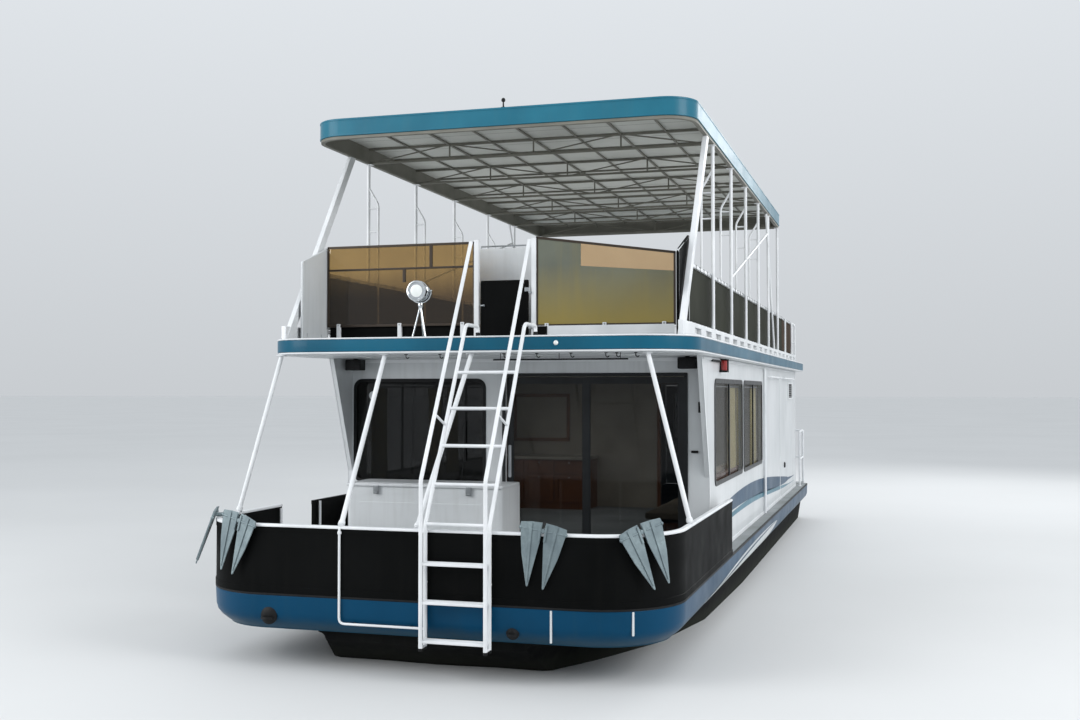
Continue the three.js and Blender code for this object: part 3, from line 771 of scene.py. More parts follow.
@dataclass(frozen=True)
class Seamed(Finish):
    """Painted sheet laid in strips across the boat, with a dark line at each joint."""

    strip: float = 0.61
    joint: str = "#4d4c45"

    def colour(self, tree: Tree, where: Socket) -> Socket:
        """Draws the joints over the paint.

        Args:
            tree: the material's node tree.
            where: the place on the object.

        Returns:
            The colour.
        """
        paint = super().colour(tree, where)
        along = put(tree, "SeparateXYZ", {}, {"Vector": where}, "Y")
        place = put(tree, "Math", {"operation": "DIVIDE", 1: self.strip}, {0: along})
        part = put(tree, "Math", {"operation": "FRACT"}, {0: place})
        line = put(tree, "Math", {"operation": "LESS_THAN", 1: 0.02}, {0: part})
        share = put(tree, "Math", {"operation": "MULTIPLY", 1: 0.7}, {0: line})
        return self.blend(tree, share, paint, linear(self.joint))


# Fibreglass gelcoat: glossy when new, chalked and streaked by rain after some seasons.
WHITE_GELCOAT = Weathered(
    "white_gelcoat", "#d3d6d8", "#c2c6c8", 1.1, 0.34, 0.16, 0.012, 0.0003, coat=0.2, amount=0.14,
    slot="white_panel",
)
# Powder-coated aluminium tube: an even satin skin with faint orange peel.
WHITE_TUBE = Finish(
    "white_powder_coat", "#e2e4e6", "#d2d5d7", 0.35, 0.38, 0.12, 0.003, 0.00012, slot="white_tube"
)
# Blue gelcoat with a greyer tide mark low down.
BLUE_GELCOAT = Weathered(
    "deep_blue_gelcoat", "#014060", "#013753", 0.9, 0.3, 0.18, 0.01, 0.0002,
    coat=0.03, specular=0.1, dirt_and_shade_tone="#2a4652", amount=0.1, low=0.24, high=0.4, slot="blue_gelcoat"
)
# Two-pack marine paint in teal: a level, slightly orange-peeled gloss.
TEAL_PAINT = Weathered(
    "teal_marine_paint", "#2a7186", "#226378", 0.8, 0.3, 0.14, 0.008, 0.0002,
    coat=0.06, specular=0.16, dirt_and_shade_tone="#4a6a70", amount=0.14, slot="teal_paint"
)
DEEP_TEAL = Weathered(
    "deep_teal_marine_paint", "#125a73", "#0d4c63", 0.8, 0.3, 0.14, 0.008, 0.0002,
    coat=0.06, specular=0.16, dirt_and_shade_tone="#345a64", amount=0.12, slot="teal_paint"
)
# Antifouling paint: dead flat, darkest below, with a dried film at the waterline.
BOTTOM_PAINT = Weathered(
    "antifouling_paint", "#0b0c0d", "#141514", 0.35, 0.78, 0.12, 0.006, 0.0006,
    specular=0.08, dirt_and_shade_tone="#252722", amount=0.35, low=0.0, high=0.12, slot="bottom_paint"
)
# Textured black polyethylene sheet: waxy, with grey scuffs.
BLACK_PANEL = Weathered(
    "black_textured_sheet", "#070808", "#0d0e0e", 0.6, 0.5, 0.2, 0.0025, 0.0003,
    specular=0.04, dirt_and_shade_tone="#191816", amount=0.2, slot="black_panel"
)
# Moulded rubber and nylon for fittings: near black with a soft sheen.
BLACK_MOULDED = Finish(
    "black_moulded_nylon", "#0e0f10", "#171819", 0.08, 0.5, 0.15, 0.002, 0.0002, specular=0.2,
    slot="black_panel",
)
# Anodised window section: dark, brushed along its length.
DARK_FRAME = Finish(
    "dark_anodised_aluminium", "#16181a", "#202325", 0.2, 0.36, 0.12, 0.0015, 0.0001, 0.55,
    slot="door_frame",
)
# Non-skid deck coating: grit rolled into grey paint, dirty where feet fall.
DECK_COAT = Finish(
    "nonskid_deck_coating", "#8d9294", "#757a7a", 0.7, 0.82, 0.1, 0.0035, 0.0012, slot="deck_coat"
)
# Bronze-tinted acrylic sheet: clear but brown.
BRONZE_ACRYLIC = Finish(
    "bronze_acrylic", "#b5935a", "#a58551", 0.6, 0.005, 0.01, 0.02, 0.0, clear=0.95, specular=0.4,
    slot="smoked_acrylic",
)
# A newer strip of it, not yet darkened.
PALE_BRONZE = Finish(
    "pale_bronze_acrylic", "#dcbd92", "#d0b086", 0.6, 0.005, 0.01, 0.02, 0.0, clear=0.95,
    specular=0.4, slot="smoked_acrylic",
)
# The same sheet, painted with the light and shade of what stands behind it: grey above, more yellow
# towards its foot.
SHADE_PAINTED_ACRYLIC = Weathered(
    "acrylic_with_painted_shade", "#6b6f63", "#62655a", 0.5, 0.12, 0.1, 0.02, 0.0, coat=0.1, specular=0.3,
    alpha=0.9, dirt_and_shade_tone="#97853f", amount=0.15, low=3.0, high=3.55, slot="smoked_acrylic",
)
# A lower pane of the same sheet, darker from below its top edge down.
SMOKED_ACRYLIC = Weathered(
    "smoked_brown_acrylic", "#b5935a", "#a58551", 0.6, 0.005, 0.01, 0.02, 0.0, clear=0.92,
    specular=0.14, dirt_and_shade_tone="#4d3a28", amount=0.06, low=3.25, high=3.58, slot="smoked_acrylic",
)
# Bronze-anodised edging round the windscreens.
BROWN_FRAME = Finish(
    "bronze_anodised_edging", "#2c231b", "#362b21", 0.3, 0.4, 0.12, 0.002, 0.0001, 0.4,
    slot="smoked_acrylic",
)
# Tinted safety glass: nearly black from outside by day.
TINTED_GLASS = Finish(
    "tinted_safety_glass", "#040505", "#080909", 0.9, 0.03, 0.03, 0.05, 0.0, alpha=0.82,
    specular=0.16, slot="window_glass",
)
# Float glass of the side windows, lightly tinted.
SIDE_GLASS = Finish(
    "light_float_glass", "#0b0e10", "#101416", 0.9, 0.03, 0.03, 0.05, 0.0, alpha=0.2, specular=0.3,
    slot="window_glass",
)
# Float glass of the patio door, tinted grey.
DOOR_GLASS = Finish(
    "grey_float_glass", "#05070a", "#090c0e", 0.9, 0.03, 0.03, 0.05, 0.0, alpha=0.48, specular=0.3,
    slot="window_glass",
)
# Knitted shade cloth of PVC-coated yarn. Its real 2 mm yarn is drawn at 9 mm so that it shows.
SHADE_CLOTH = Woven(
    "knitted_shade_cloth", "#33352c", "#272922", 0.9, 0.85, 0.1, 0.004, 0.0012, thread=0.009,
    specular=0.1, slot="rail_cloth",
)
BROWN_CLOTH = Woven(
    "brown_shade_cloth", "#453527", "#362a20", 0.9, 0.85, 0.1, 0.004, 0.0012, thread=0.009,
    specular=0.1, slot="rail_cloth",
)
# Woven polyester upholstery: soft slubs, 3 mm yarn drawn at 6 mm.
SOFA_FABRIC = Woven(
    "woven_upholstery", "#8f8470", "#7b705e", 0.25, 0.9, 0.08, 0.004, 0.001, thread=0.006,
    slot="sofa_fabric",
)
# Lined curtain cloth: thin, pale and matt.
CURTAIN_FABRIC = Woven(
    "curtain_cotton", "#dcd2a2", "#c8bc8c", 0.5, 0.92, 0.06, 0.004, 0.0006,
    clear=0.35, thread=0.005, slot="sofa_fabric"
)
# White painted aluminium roof sheet seen from below, dulled by dust.
ROOF_SHEET = Seamed(
    "painted_roof_sheet", "#c9cbc5", "#b8bab4", 0.9, 0.6, 0.12, 0.01, 0.0004, slot="canopy_skin"
)
# Welded canopy tubes in a taupe-grey paint.
TAUPE_PAINT = Finish(
    "taupe_grey_paint", "#74736a", "#65645b", 0.3, 0.55, 0.12, 0.003, 0.0002, slot="canopy_frame"
)
# Hot-dip galvanised steel: dull zinc with visible flakes.
GALVANISED = Spangled(
    "hot_dip_galvanised", "#8b999c", "#6e7b80", 0.2, 0.5, 0.16, 0.004, 0.0005, 0.6,
    slot="galvanised",
)
# Chrome plate and polished stainless: a mirror with faint wiping marks.
CHROME = Finish(
    "chrome_plate", "#d6dadd", "#c2c7cb", 0.2, 0.09, 0.08, 0.02, 0.00005, 1.0, slot="chrome"
)
# Brushed stainless steel hinges, screws and rails.
STAINLESS = Finish(
    "brushed_stainless", "#a9adb0", "#8d9295", 0.15, 0.3, 0.12, 0.0015, 0.0001, 1.0, slot="chrome"
)
# Varnished teak-faced plywood.
CABIN_WOOD = Wooden(
    "varnished_teak_ply", "#7a4a26", "#55301a", 0.6, 0.35, 0.12, 0.004, 0.0002, coat=0.3,
    slot="cabin_wood",
)
# Pale laminate for the worktop and the wall panel.
PALE_LAMINATE = Finish(
    "pale_laminate", "#9c978b", "#8b867a", 0.3, 0.4, 0.1, 0.006, 0.0001, slot="cabin_wood"
)
# White enamel on the steel pod, stained at the waterline.
POD_ENAMEL = Weathered(
    "white_pod_enamel", "#cfd2d3", "#bcc0c2", 0.6, 0.42, 0.14, 0.006, 0.0002,
    coat=0.2, dirt_and_shade_tone="#6b7062", amount=0.3, low=-0.02, high=0.10, slot="pod_paint"
)
# Baked enamel on cast aluminium for the engine legs.
ENGINE_ENAMEL = Finish(
    "engine_enamel", "#26292c", "#1b1e20", 0.3, 0.4, 0.14, 0.003, 0.0002, 0.3, coat=0.2,
    slot="engine_paint",
)
# Glossy moulded engine cover.
COVER_GLOSS = Finish(
    "engine_cover_gloss", "#15171a", "#1e2124", 0.4, 0.2, 0.1, 0.01, 0.0001, coat=0.6,
    slot="engine_cowl",
)
# Opal lamp lens.
LAMP_LENS = Finish(
    "opal_lamp_lens", "#e9ecea", "#d9dedc", 0.1, 0.2, 0.06, 0.01, 0.0001, coat=0.5,
    slot="white_panel",
)
RED_LENS = Finish(
    "red_lamp_lens", "#8e1b16", "#7a1410", 0.1, 0.16, 0.06, 0.01, 0.0001, coat=0.6,
    slot="black_panel",
)
GREEN_LENS = Finish(
    "green_lamp_lens", "#1d6b3a", "#175a30", 0.1, 0.16, 0.06, 0.01, 0.0001, coat=0.6,
    slot="black_panel",
)


def hand_over(
    name: str,
    parts: Sequence[Piece],
    finish: Finish,
    slot: str = "",
    body: str = "boat",
    node: str = "",
    crease: float = 35.0,
) -> Piece:
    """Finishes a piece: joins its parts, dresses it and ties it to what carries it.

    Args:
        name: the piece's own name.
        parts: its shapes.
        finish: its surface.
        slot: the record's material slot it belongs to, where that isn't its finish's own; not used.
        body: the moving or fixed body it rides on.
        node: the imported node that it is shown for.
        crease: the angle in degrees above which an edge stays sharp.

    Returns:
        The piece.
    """
    made = joined(parts)
    made.name = made.data.name = name
    take(made)
    bpy.ops.object.shade_smooth_by_angle(angle=math.radians(crease))
    # The wide faces keep their own normals, so only the rounded edges between them shade round.
    made.modifiers.new("even", "WEIGHTED_NORMAL").keep_sharp = True
    bpy.ops.object.modifier_apply(modifier="even")
    made.data.materials.clear()
    made.data.materials.append(finish.make())
    for face in made.data.polygons:
        face.material_index = 0
    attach(made, body)
    if node:
        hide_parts(node)
    if slot or finish.slot:
        slot or finish.slot
    LOG.info("%s: %d faces on %s", name, len(made.data.polygons), body)
    return made


def dress_node(name: str, finish: Finish) -> None:
    """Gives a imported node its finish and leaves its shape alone.

    Args:
        name: the node.
        finish: its surface.
    """
    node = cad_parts[name]
    node.data.materials.clear()
    node.data.materials.append(finish.make())
    LOG.info("%s: dressed in %s", name, finish.name)


# The hull and the bow

HULL_PLAN = Plan(2.13, -7.3, 6.6, 0.72, 0.15)
UPPER_PLAN = Plan(2.08, -6.1, 6.0, 0.52, 0.06)
CANOPY_PLAN = Plan(1.99, -5.3, 3.0, 0.33, 0.12)
BOW_CORNER = (HULL_PLAN.half - HULL_PLAN.front_radius, HULL_PLAN.front + HULL_PLAN.front_radius)
DECK_TOP = 0.645
UPPER_TOP = 2.85
# Feet and boards stand this little above a deck, so that no two faces lie in one plane.
CLEAR = 0.0005
DECK_SEAT = DECK_TOP + CLEAR
UPPER_SEAT = UPPER_TOP + CLEAR
RAIL_TOP = 1.2246
CABIN_SOFFIT = 2.695
CABIN_HALF = 1.98
CABIN_FRONT = -4.35
CABIN_BACK = 5.7
ENGINE_X = 0.55
FRAME_STATIONS = (-3.9, -2.5, -1.15, 0.23)
AFT_STATIONS = (1.5, 2.85)
RAIL_LOOP_RADIUS = 0.0178
CLOTH_THICKNESS = 0.003
AHEAD, ABAFT, UNDER = (0, -1, 0), (0, 1, 0), (0, 0, -1)


@dataclass
class Hull:
    """The blue band, the dark bottom under it and what is fixed to them."""

    band_low: float = 0.32
    chine_inset: float = 0.135
    stations: Sequence[tuple[float, ...]] = (
        # along, half width at the top, half width at the chine, chine height, keel height
        (-7.06, 0.96, 0.90, 0.24, 0.215),
        (-6.72, 1.15, 0.98, 0.02, -0.01),
        (-6.2, 1.42, 1.18, -0.16, -0.22),
        (-5.3, 1.76, 1.56, -0.23, -0.33),
        (-4.0, 1.95, 1.82, -0.25, -0.365),
        (-1.5, 1.99, 1.90, -0.26, -0.37),
        (6.6, 1.99, 1.92, -0.265, -0.37),
    )

    def build(self) -> None:
        """Builds the hull from its keel up."""
        self.bottom()
        self.topsides()
        self.rub_rail()
        self.swoosh()
        self.bow_fittings()
        dress_node("main_deck", DECK_COAT)

    def band_inset(self, height: float) -> float:
        """How far the band tucks under at a height."""
        low = max(0.0, 1 - (height - self.band_low) / 0.15)
        return self.chine_inset * low**1.8 + 0.012 * max(0.0, 1 - (height - self.band_low) / 0.28)

    def topsides(self) -> None:
        """The blue band with its lower edge rounded under."""
        heights = [0.32, 0.326, 0.336, 0.35, 0.37, 0.395, 0.43, 0.48, 0.55, 0.6, 0.619, 0.625]
        rings = []
        for z in heights:
            inset = min(self.band_inset(z), self.chine_inset) + (0.004 if z > 0.62 else 0.0)
            plan = replace(HULL_PLAN, back=HULL_PLAN.back + inset)
            rings.append([(x, y, z) for x, y in plan.outline(inset, 18)])
        hand_over("hull_band", [skin(rings)], BLUE_GELCOAT, node="hull_topsides", crease=50)

    def bottom(self) -> None:
        """The displacement bottom: a shallow keel, a chine and a raked stem."""
        rings = []
        for first, second in zip(self.stations, self.stations[1:]):
            steps = 4 if second is not self.stations[-1] else 12
            for k in range(steps):
                rings.append([a + (b - a) * k / steps for a, b in zip(first, second)])
        rings.append(list(self.stations[-1]))
        top = self.band_low - 0.0003
        shaped = []
        for y, half, chine, chine_z, keel_z in rings:
            side = [
                (half, y, top),
                (half + 0.004, y, top - 0.03),
                (chine + (half - chine) * 0.45, y, (top + chine_z) / 2),
                (chine + 0.012, y, chine_z + 0.03),
                (chine, y, chine_z),
                (chine * 0.94, y, chine_z - 0.012 + (keel_z - chine_z) * 0.06),
                (chine * 0.5, y, (chine_z + keel_z) / 2 + 0.004),
                (0.05, y, keel_z + 0.004),
            ]
            other = [(-x, y_, z) for x, y_, z in reversed(side)]
            shaped.append([*side, (0.0, y, keel_z), *other])
        parts = [skin(shaped)]
        keel = [(0.022, -0.02), (0.022, 0.012), (-0.022, 0.012), (-0.022, -0.02)]
        bars = [[(x, y, -0.37 + z) for x, z in keel] for y in (-3.6, 0.0, 6.4)]
        parts.append(rounded(skin(bars), 0.006))
        hand_over("hull_bottom_shell", parts, BOTTOM_PAINT, node="hull_bottom", crease=28)

    def rub_rail(self) -> None:
        """A dark extrusion that covers the joint between hull and deck."""
        section = [
            (-0.012, 0.622), (0.002, 0.622), (0.008, 0.628), (0.008, 0.640), (0.002, 0.645),
            (-0.012, 0.645),
        ]
        rail = run_along(HULL_PLAN.outline(0.004, 16), section)
        hand_over("rub_rail", [rail], BLACK_MOULDED)

    def flank(self, y: float, z: float, side: int, proud: float) -> Point:
        """A point on the side of the band, proud of its paint."""
        return (side * (HULL_PLAN.half - min(self.band_inset(z), self.chine_inset) + proud), y, z)

    def swoosh(self) -> None:
        """A plain pale sweep painted along each side of the band, drawn to a point at both ends."""
        front, back, steps = -5.35, 0.9, 30
        for name, side in SIDES.items():
            strips = []
            for low, high, proud in ((0.0, 0.62, 0.0012), (0.74, 0.86, 0.0013)):
                rows = []
                for k in range(steps + 1):
                    t = k / steps
                    y = front + (back - front) * t
                    swell = max(0.004, math.sin(math.pi * t) ** 0.7)
                    middle = 0.40 + 0.13 * t
                    span = 0.21 * swell
                    z0 = middle - span / 2 + span * low
                    z1 = middle - span / 2 + span * high
                    rows.append([
                        self.flank(y, z0 + (z1 - z0) * j / 5, side, proud) for j in range(6)
                    ])
                strips.append(thickened(skin(rows, closed=False), 0.001))
            hand_over("hull_sweep_" + name, strips, WHITE_GELCOAT)

    def bow_fittings(self) -> None:
        """Mooring eyes, rubbing strips and the stand-offs of the light tube frame."""
        eyes = []
        for x, z, size in ((0.853, 0.42, 0.055), (-1.309, 0.45, 0.075)):
            face = HULL_PLAN.front + self.band_inset(z)
            base = [(-0.004, size), (0.006, size), (0.014, size * 0.8), (0.03, size * 0.42)]
            eyes.append(turned(base, (x, face, z), AHEAD))
            ring = [
                (
                    x + 0.6 * size * math.cos(t), face - 0.035 - 0.3 * size * math.sin(t),
                    z - 0.2 * size,
                )
                for t in [math.pi * k / 8 for k in range(9)]
            ]
            eyes.append(tube([ring], size * 0.17, 0.01, 10))
            eyes += [
                bolt((x + dx * size, face - 0.006, z + dz * size), AHEAD, 0.006)
                for dx, dz in ((0.7, 0.5), (-0.7, 0.5), (0.7, -0.5), (-0.7, -0.5))
            ]
        hand_over("bow_mooring_eyes", eyes, BLACK_MOULDED)
        stands = [
            turned(
                [(0, 0.02), (0.01, 0.02), (0.014, 0.012), (0.052, 0.012)], (x, -7.262, 0.42), AHEAD
            )
            for x in (-0.519, -0.008)
        ]
        hand_over("tube_frame_standoffs", stands, BLACK_MOULDED)
        strips = [block((1.168, -7.304, 0.36), (1.186, -7.292, 0.618), 0.004)]
        turn = math.radians(34)
        (x, y), reach = BOW_CORNER, HULL_PLAN.front_radius - 0.008
        at = Vector((x + reach * math.sin(turn), y - reach * math.cos(turn), 0.0))
        strip = block((-0.009, -0.014, 0.43), (0.009, 0.002, 0.618), 0.004)
        strips.append(copy_of(strip, Matrix.Translation(at) @ Matrix.Rotation(turn, 4, "Z")))
        bpy.data.objects.remove(strip)
        hand_over("bow_rubbing_strips", strips, WHITE_GELCOAT)


@dataclass
class BowRail:
    """The black bulwark round the bow with its white cap, and the light tube frame on it."""

    foot: float = 0.6455
    top: float = 1.2
    thick: float = 0.04
    aft_end: float = -3.77
    gate_front: float = -5.64
    gate_back: float = -4.93

    def path(self, side: int, front: float, back: float) -> list[Flat]:
        """The hull's edge on one side from the middle of the bow aft, cut at two stations.

        Args:
            side: 1 for port and -1 for starboard.
            front: where the length starts.
            back: where it ends.

        Returns:
            The plan line.
        """
        outline = [p for p in HULL_PLAN.outline(0.002, 18) if p[0] > 0 and p[1] < 0]
        points = [(0.0, -7.298), *outline, (2.128, back)]
        kept = [p for p in points if front <= p[1] <= back]
        if front > -7.0:
            kept.insert(0, (2.128, front))
        if side < 0:
            kept = [(-x, y) for x, y in reversed(kept)]
        return kept

    def walls(self) -> list[list[Flat]]:
        """The plan lines of the two lengths of bulwark.

        Returns:
            One plan line for each.
        """
        port = self.path(1, -8.0, self.aft_end)
        stbd = self.path(-1, -8.0, self.gate_front)
        return [[*stbd, *port[1:]], self.path(-1, self.gate_back, self.aft_end)]

    def build(self) -> None:
        """Builds the panels, the cap and the frame."""
        self.panels()
        self.cap()
        self.posts()
        self.tube_frame()

    def panels(self) -> None:
        """Black sheet panels between the deck and the cap, with a kick flange at the foot."""
        names = (("bulwark_panels", "bow_bulwark"), ("bulwark_panel_aft", "bow_bulwark_side"))
        for (name, node), line in zip(names, self.walls()):
            t, z0, z1 = self.thick, self.foot, self.top
            sheet = [
                (-t, z0), (0.006, z0), (0.006, z0 + 0.05), (0.0, z0 + 0.056), (0.0, z1 - 0.045),
                (0.004, z1 - 0.04), (0.004, z1 - 0.004), (0.0, z1), (-t, z1),
            ]
            parts = [run_along(line, sheet, closed=False)]
            hand_over(name, parts, BLACK_PANEL, node=node, crease=40)

    def cap(self) -> None:
        """The white rounded cap on the bulwark."""
        low, high, half = 1.2003, 1.2243, 0.023
        section = [
            (-0.02 - half, low), (-0.02 + half, low), (-0.017 + half, low + 0.006),
            (-0.017 + half, high - 0.008), (-0.024 + half, high), (-0.016 - half, high),
            (-0.023 - half, high - 0.008), (-0.023 - half, low + 0.006),
        ]
        parts = [run_along(self.walls()[0], section, closed=False)]
        hand_over("bulwark_cap", parts, WHITE_TUBE, node="bow_rail", crease=50)

    def posts(self) -> None:
        """Inside posts that stiffen the bulwark, each with a foot plate."""
        parts = []
        spots = [(-1.2, -7.23), (-0.4, -7.23), (0.4, -7.23), (1.2, -7.23)]
        for side in (1, -1):
            spots += [(side * 2.064, y) for y in (-6.4, -5.7)]
        spots += [(2.064, y) for y in (-4.9, -4.0)] + [(-2.064, -4.86), (-2.064, -4.0)]
        for x, y in spots:
            parts += [
                tube([[(x, y, DECK_TOP + 0.002), (x, y, 1.19)]], 0.014),
                turned([(0, 0.03), (0.006, 0.03), (0.008, 0.026)], (x, y, DECK_TOP + 0.001)),
            ]
        hand_over("bulwark_posts", parts, WHITE_TUBE)

    def tube_frame(self) -> None:
        """A light tube hung from the cap outside the bow, down and across to the ladder."""
        y = -7.3113
        path = [(-0.65, y + 0.03, 1.212), (-0.65, y, 1.212), (-0.65, y, 0.42), (0.1, y, 0.42)]
        parts = [tube([path], 0.0105, 0.05)]
        parts.append(turned([(0, 0.017), (0.02, 0.017), (0.024, 0.013)], (-0.65, y + 0.002, 1.16)))
        hand_over("bow_tube_frame", parts, WHITE_TUBE)


@dataclass
class BowLadder:
    """The boarding ladder from the bow up to the upper deck, with its handrails."""

    middle: float = 0.4
    half: float = 0.275
    stringer_y: float = -7.331
    handrail_y: float = -7.43
    knee: float = 1.26
    head: Flat = (-6.38, 2.94)
    tube_radius: float = 0.017

    def along(self, z: float) -> float:
        """Where the stringer stands at a height."""
        slope = (self.head[0] - self.stringer_y) / (self.head[1] - self.knee)
        return self.stringer_y + max(0.0, z - self.knee) * slope

    def build(self) -> None:
        """Bends the tubes and fits steps, rungs, brackets and end caps."""
        rails, links, steps = [], [], []
        for side in (-1, 1):
            x = self.middle + side * self.half
            rails += [
                [
                    (x, self.stringer_y, 0.27), (x, self.stringer_y, self.knee), (x, *self.head),
                    (x, -6.06, self.head[1]), (x, -6.06, UPPER_TOP + 0.001),
                ],
                [(x, self.handrail_y, 0.27), (x, self.handrail_y, 1.63), (x, -6.25, 3.69)],
            ]
            links += [
                [(x, self.handrail_y, 0.29), (x, self.stringer_y, 0.29)],
                [(x, self.handrail_y + 0.3, 2.16), (x, self.along(2.06), 2.06)],
            ]
            for z in (0.80, 1.20):
                links.append([(x, self.stringer_y + 0.004, z), (x, -7.3, z)])
        parts = [tube(rails, self.tube_radius, 0.09, 14), tube(links, 0.011)]
        for k in range(8):
            z = 0.34 + 0.31 * k
            y = self.along(z)
            if z < self.knee - 0.1:
                steps.append(self.step(z))
            else:
                parts.append(tube(
                    [[(self.middle - self.half, y, z), (self.middle + self.half, y, z)]], 0.015
                ))
        clamps = [
            turned([(0, 0.02), (0.02, 0.02), (0.024, 0.016)], (x, self.stringer_y, 1.2))
            for x in (self.middle - self.half, self.middle + self.half)
        ]
        hand_over("bow_ladder_frame", [*parts, *steps, *clamps], WHITE_TUBE, node="bow_ladder")
        pads = []
        for x in (0.125, 0.675):
            pads.append(turned(
                [(0, 0.0205), (0.03, 0.0205), (0.034, 0.016)], (x, -6.06, UPPER_TOP)
            ))
            for y in (self.handrail_y, self.stringer_y):
                pads.append(turned([(0, 0.0175), (0.022, 0.0195), (0.024, 0.0195)], (x, y, 0.262)))
        hand_over("bow_ladder_feet", pads, BLACK_MOULDED)

    def step(self, z: float) -> Piece:
        """A flat tread with ribs pressed along it.

        Args:
            z: the tread's height.

        Returns:
            The tread.
        """
        low, high = self.middle - self.half + 0.004, self.middle + self.half - 0.004
        board = block(
            (low, self.handrail_y - 0.004, z - 0.014), (high, self.stringer_y + 0.004, z + 0.010),
            0.006,
        )
        ribs = [
            block((low + 0.02, y, z + 0.008), (high - 0.02, y + 0.006, z + 0.0135), 0.002)
            for y in [self.handrail_y + 0.008 + 0.018 * k for k in range(5)]
        ]
        return joined([board, *ribs])


@dataclass
class BowStruts:
    """Four raked struts from the bulwark cap to the front of the upper deck."""

    rows: Sequence[tuple[float, float, float, float]] = (
        # top x and y, foot x and y
        (-1.9, -6.01, -2.108, -6.43),
        (-0.8, -6.05, -0.65, -7.278),
        (0.06, -6.05, 0.03, -7.278),
        (1.7, -6.03, 2.108, -6.25),
    )
    top: float = CABIN_SOFFIT - 0.0003
    radius: float = 0.0215

    def build(self) -> None:
        """Builds each strut with a welded plate at its head and a socket at its foot."""
        for number, (top_x, top_y, foot_x, foot_y) in enumerate(self.rows, 1):
            foot = Vector((foot_x, foot_y, RAIL_TOP + 0.002))
            head = Vector((top_x, top_y, self.top - 0.004))
            along = (head - foot).normalized()
            bar = tube([[tuple(foot), tuple(head)]], self.radius, around=16)
            socket = turned(
                [(-0.004, 0.03), (0.03, 0.028), (0.036, 0.0225)], tuple(foot + along * 0.012),
                tuple(along),
            )
            plates = [
                block(
                    (top_x - 0.04, top_y - 0.04, self.top - 0.007),
                    (top_x + 0.04, top_y + 0.04, self.top), 0.003,
                ),
                block(
                    (foot_x - 0.022, foot_y - 0.022, RAIL_TOP),
                    (foot_x + 0.022, foot_y + 0.022, RAIL_TOP + 0.006), 0.002,
                ),
            ]
            bolts = [
                bolt((top_x + dx, top_y + dy, self.top - 0.007), UNDER, 0.006)
                for dx in (-0.03, 0.03)
                for dy in (-0.03, 0.03)
            ]
            hand_over(
                f"bow_strut_bar_{number}", [bar, socket, *plates, *bolts], WHITE_TUBE,
                node=f"bow_strut_{number}",
            )


@dataclass
class Anchors:
    """Four galvanised fluke anchors hung over the bulwark's cap by their crowns."""

    height: float = 1.2432
    stock_y: float = -0.02
    places: Sequence[tuple[float | None, int, float, float, float]] = (
        # distance across the straight front, or a corner and its angle from ahead, tilt, lean
        (None, -1, 65.0, 4.0, 20.0),
        (None, -1, 15.0, 13.0, 5.0),
        (1.12, 0, 0.0, 9.0, 0.0),
        (None, 1, 39.0, -19.0, 8.0),
    )

    def flukes(self) -> Piece:
        """The two flukes with their ribs on the stock, about the stock's own middle.

        Returns:
            The pattern of the flukes.
        """
        outline = [
            (0.014, 0.066), (0.10, 0.060), (0.190, 0.045), (0.194, 0.02), (0.150, -0.203),
            (0.075, -0.448), (0.066, -0.457), (0.059, -0.448), (0.030, -0.213), (0.014, -0.083),
        ]
        fluke = plate(outline, Axis.Y, -0.0055, 0.0055, 0.003)
        rib_outline = [(0.092, 0.05), (0.122, 0.05), (0.074, -0.42), (0.066, -0.42)]
        rib = plate(rib_outline, Axis.Y, -0.014, -0.004, 0.003)
        cheek = block((0.014, -0.015, -0.085), (0.034, 0.012, 0.05), 0.004)
        right = joined([fluke, rib, cheek])
        stock = tube([[(-0.19, 0.0, 0.0), (0.19, 0.0, 0.0)]], 0.0105)
        knob = [(-0.012, 0.008), (-0.006, 0.015), (0.006, 0.015), (0.012, 0.008)]
        ends = [turned(knob, (x, 0.0, 0.0), (1, 0, 0)) for x in (-0.188, 0.188)]
        return joined([right, mirrored(right), stock, *ends])

    def shank(self) -> Piece:
        """The crown that lies on the cap and the shank that hangs inside it, with its shackle.

        Returns:
            The pattern of the shank.
        """
        crown = turned(
            [(-0.032, 0.012), (-0.028, 0.0178), (0.090, 0.0178), (0.094, 0.014)], (0, 0, 0), ABAFT
        )
        half = [(0.012, 0.0), (0.010, -0.37), (0.014, -0.385), (0.014, -0.405), (0.006, -0.4195)]
        outline = [*half, *[(-x, z) for x, z in reversed(half)]]
        bar = plate(outline, Axis.Y, 0.0725, 0.0935, 0.004)
        bow = [
            (-0.016, -0.385), (-0.024, -0.40), (-0.018, -0.43), (0.018, -0.43), (0.024, -0.40),
            (0.016, -0.385),
        ]
        shackle = tube([[(x, 0.083, z) for x, z in bow]], 0.005, 0.014, 8)
        return joined([crown, bar, shackle])

    def build(self) -> None:
        """Hangs a copy of both patterns at each place."""
        flukes, shank = self.flukes(), self.shank()
        for number, (x, corner, degrees, tilt, lean) in enumerate(self.places, 1):
            flat, (corner_x, corner_y) = HULL_PLAN.front, BOW_CORNER
            place = Matrix.Translation((
                x or corner * corner_x, flat if x else corner_y, self.height
            ))
            if not x:
                turn = Matrix.Rotation(math.radians(corner * degrees), 4, "Z")
                place = place @ turn @ Matrix.Translation((0, -HULL_PLAN.front_radius, 0))
            place = place @ Matrix.Rotation(math.radians(tilt), 4, "Y")
            swing = Matrix.Translation((0, self.stock_y, 0)) @ Matrix.Rotation(
                math.radians(-lean), 4, "X"
            )
            parts = [copy_of(flukes, place @ swing), copy_of(shank, place)]
            hand_over(f"fluke_anchor_{number}", parts, GALVANISED, node=f"anchor_{number}")
        for spare in (flukes, shank):
            bpy.data.objects.remove(spare)


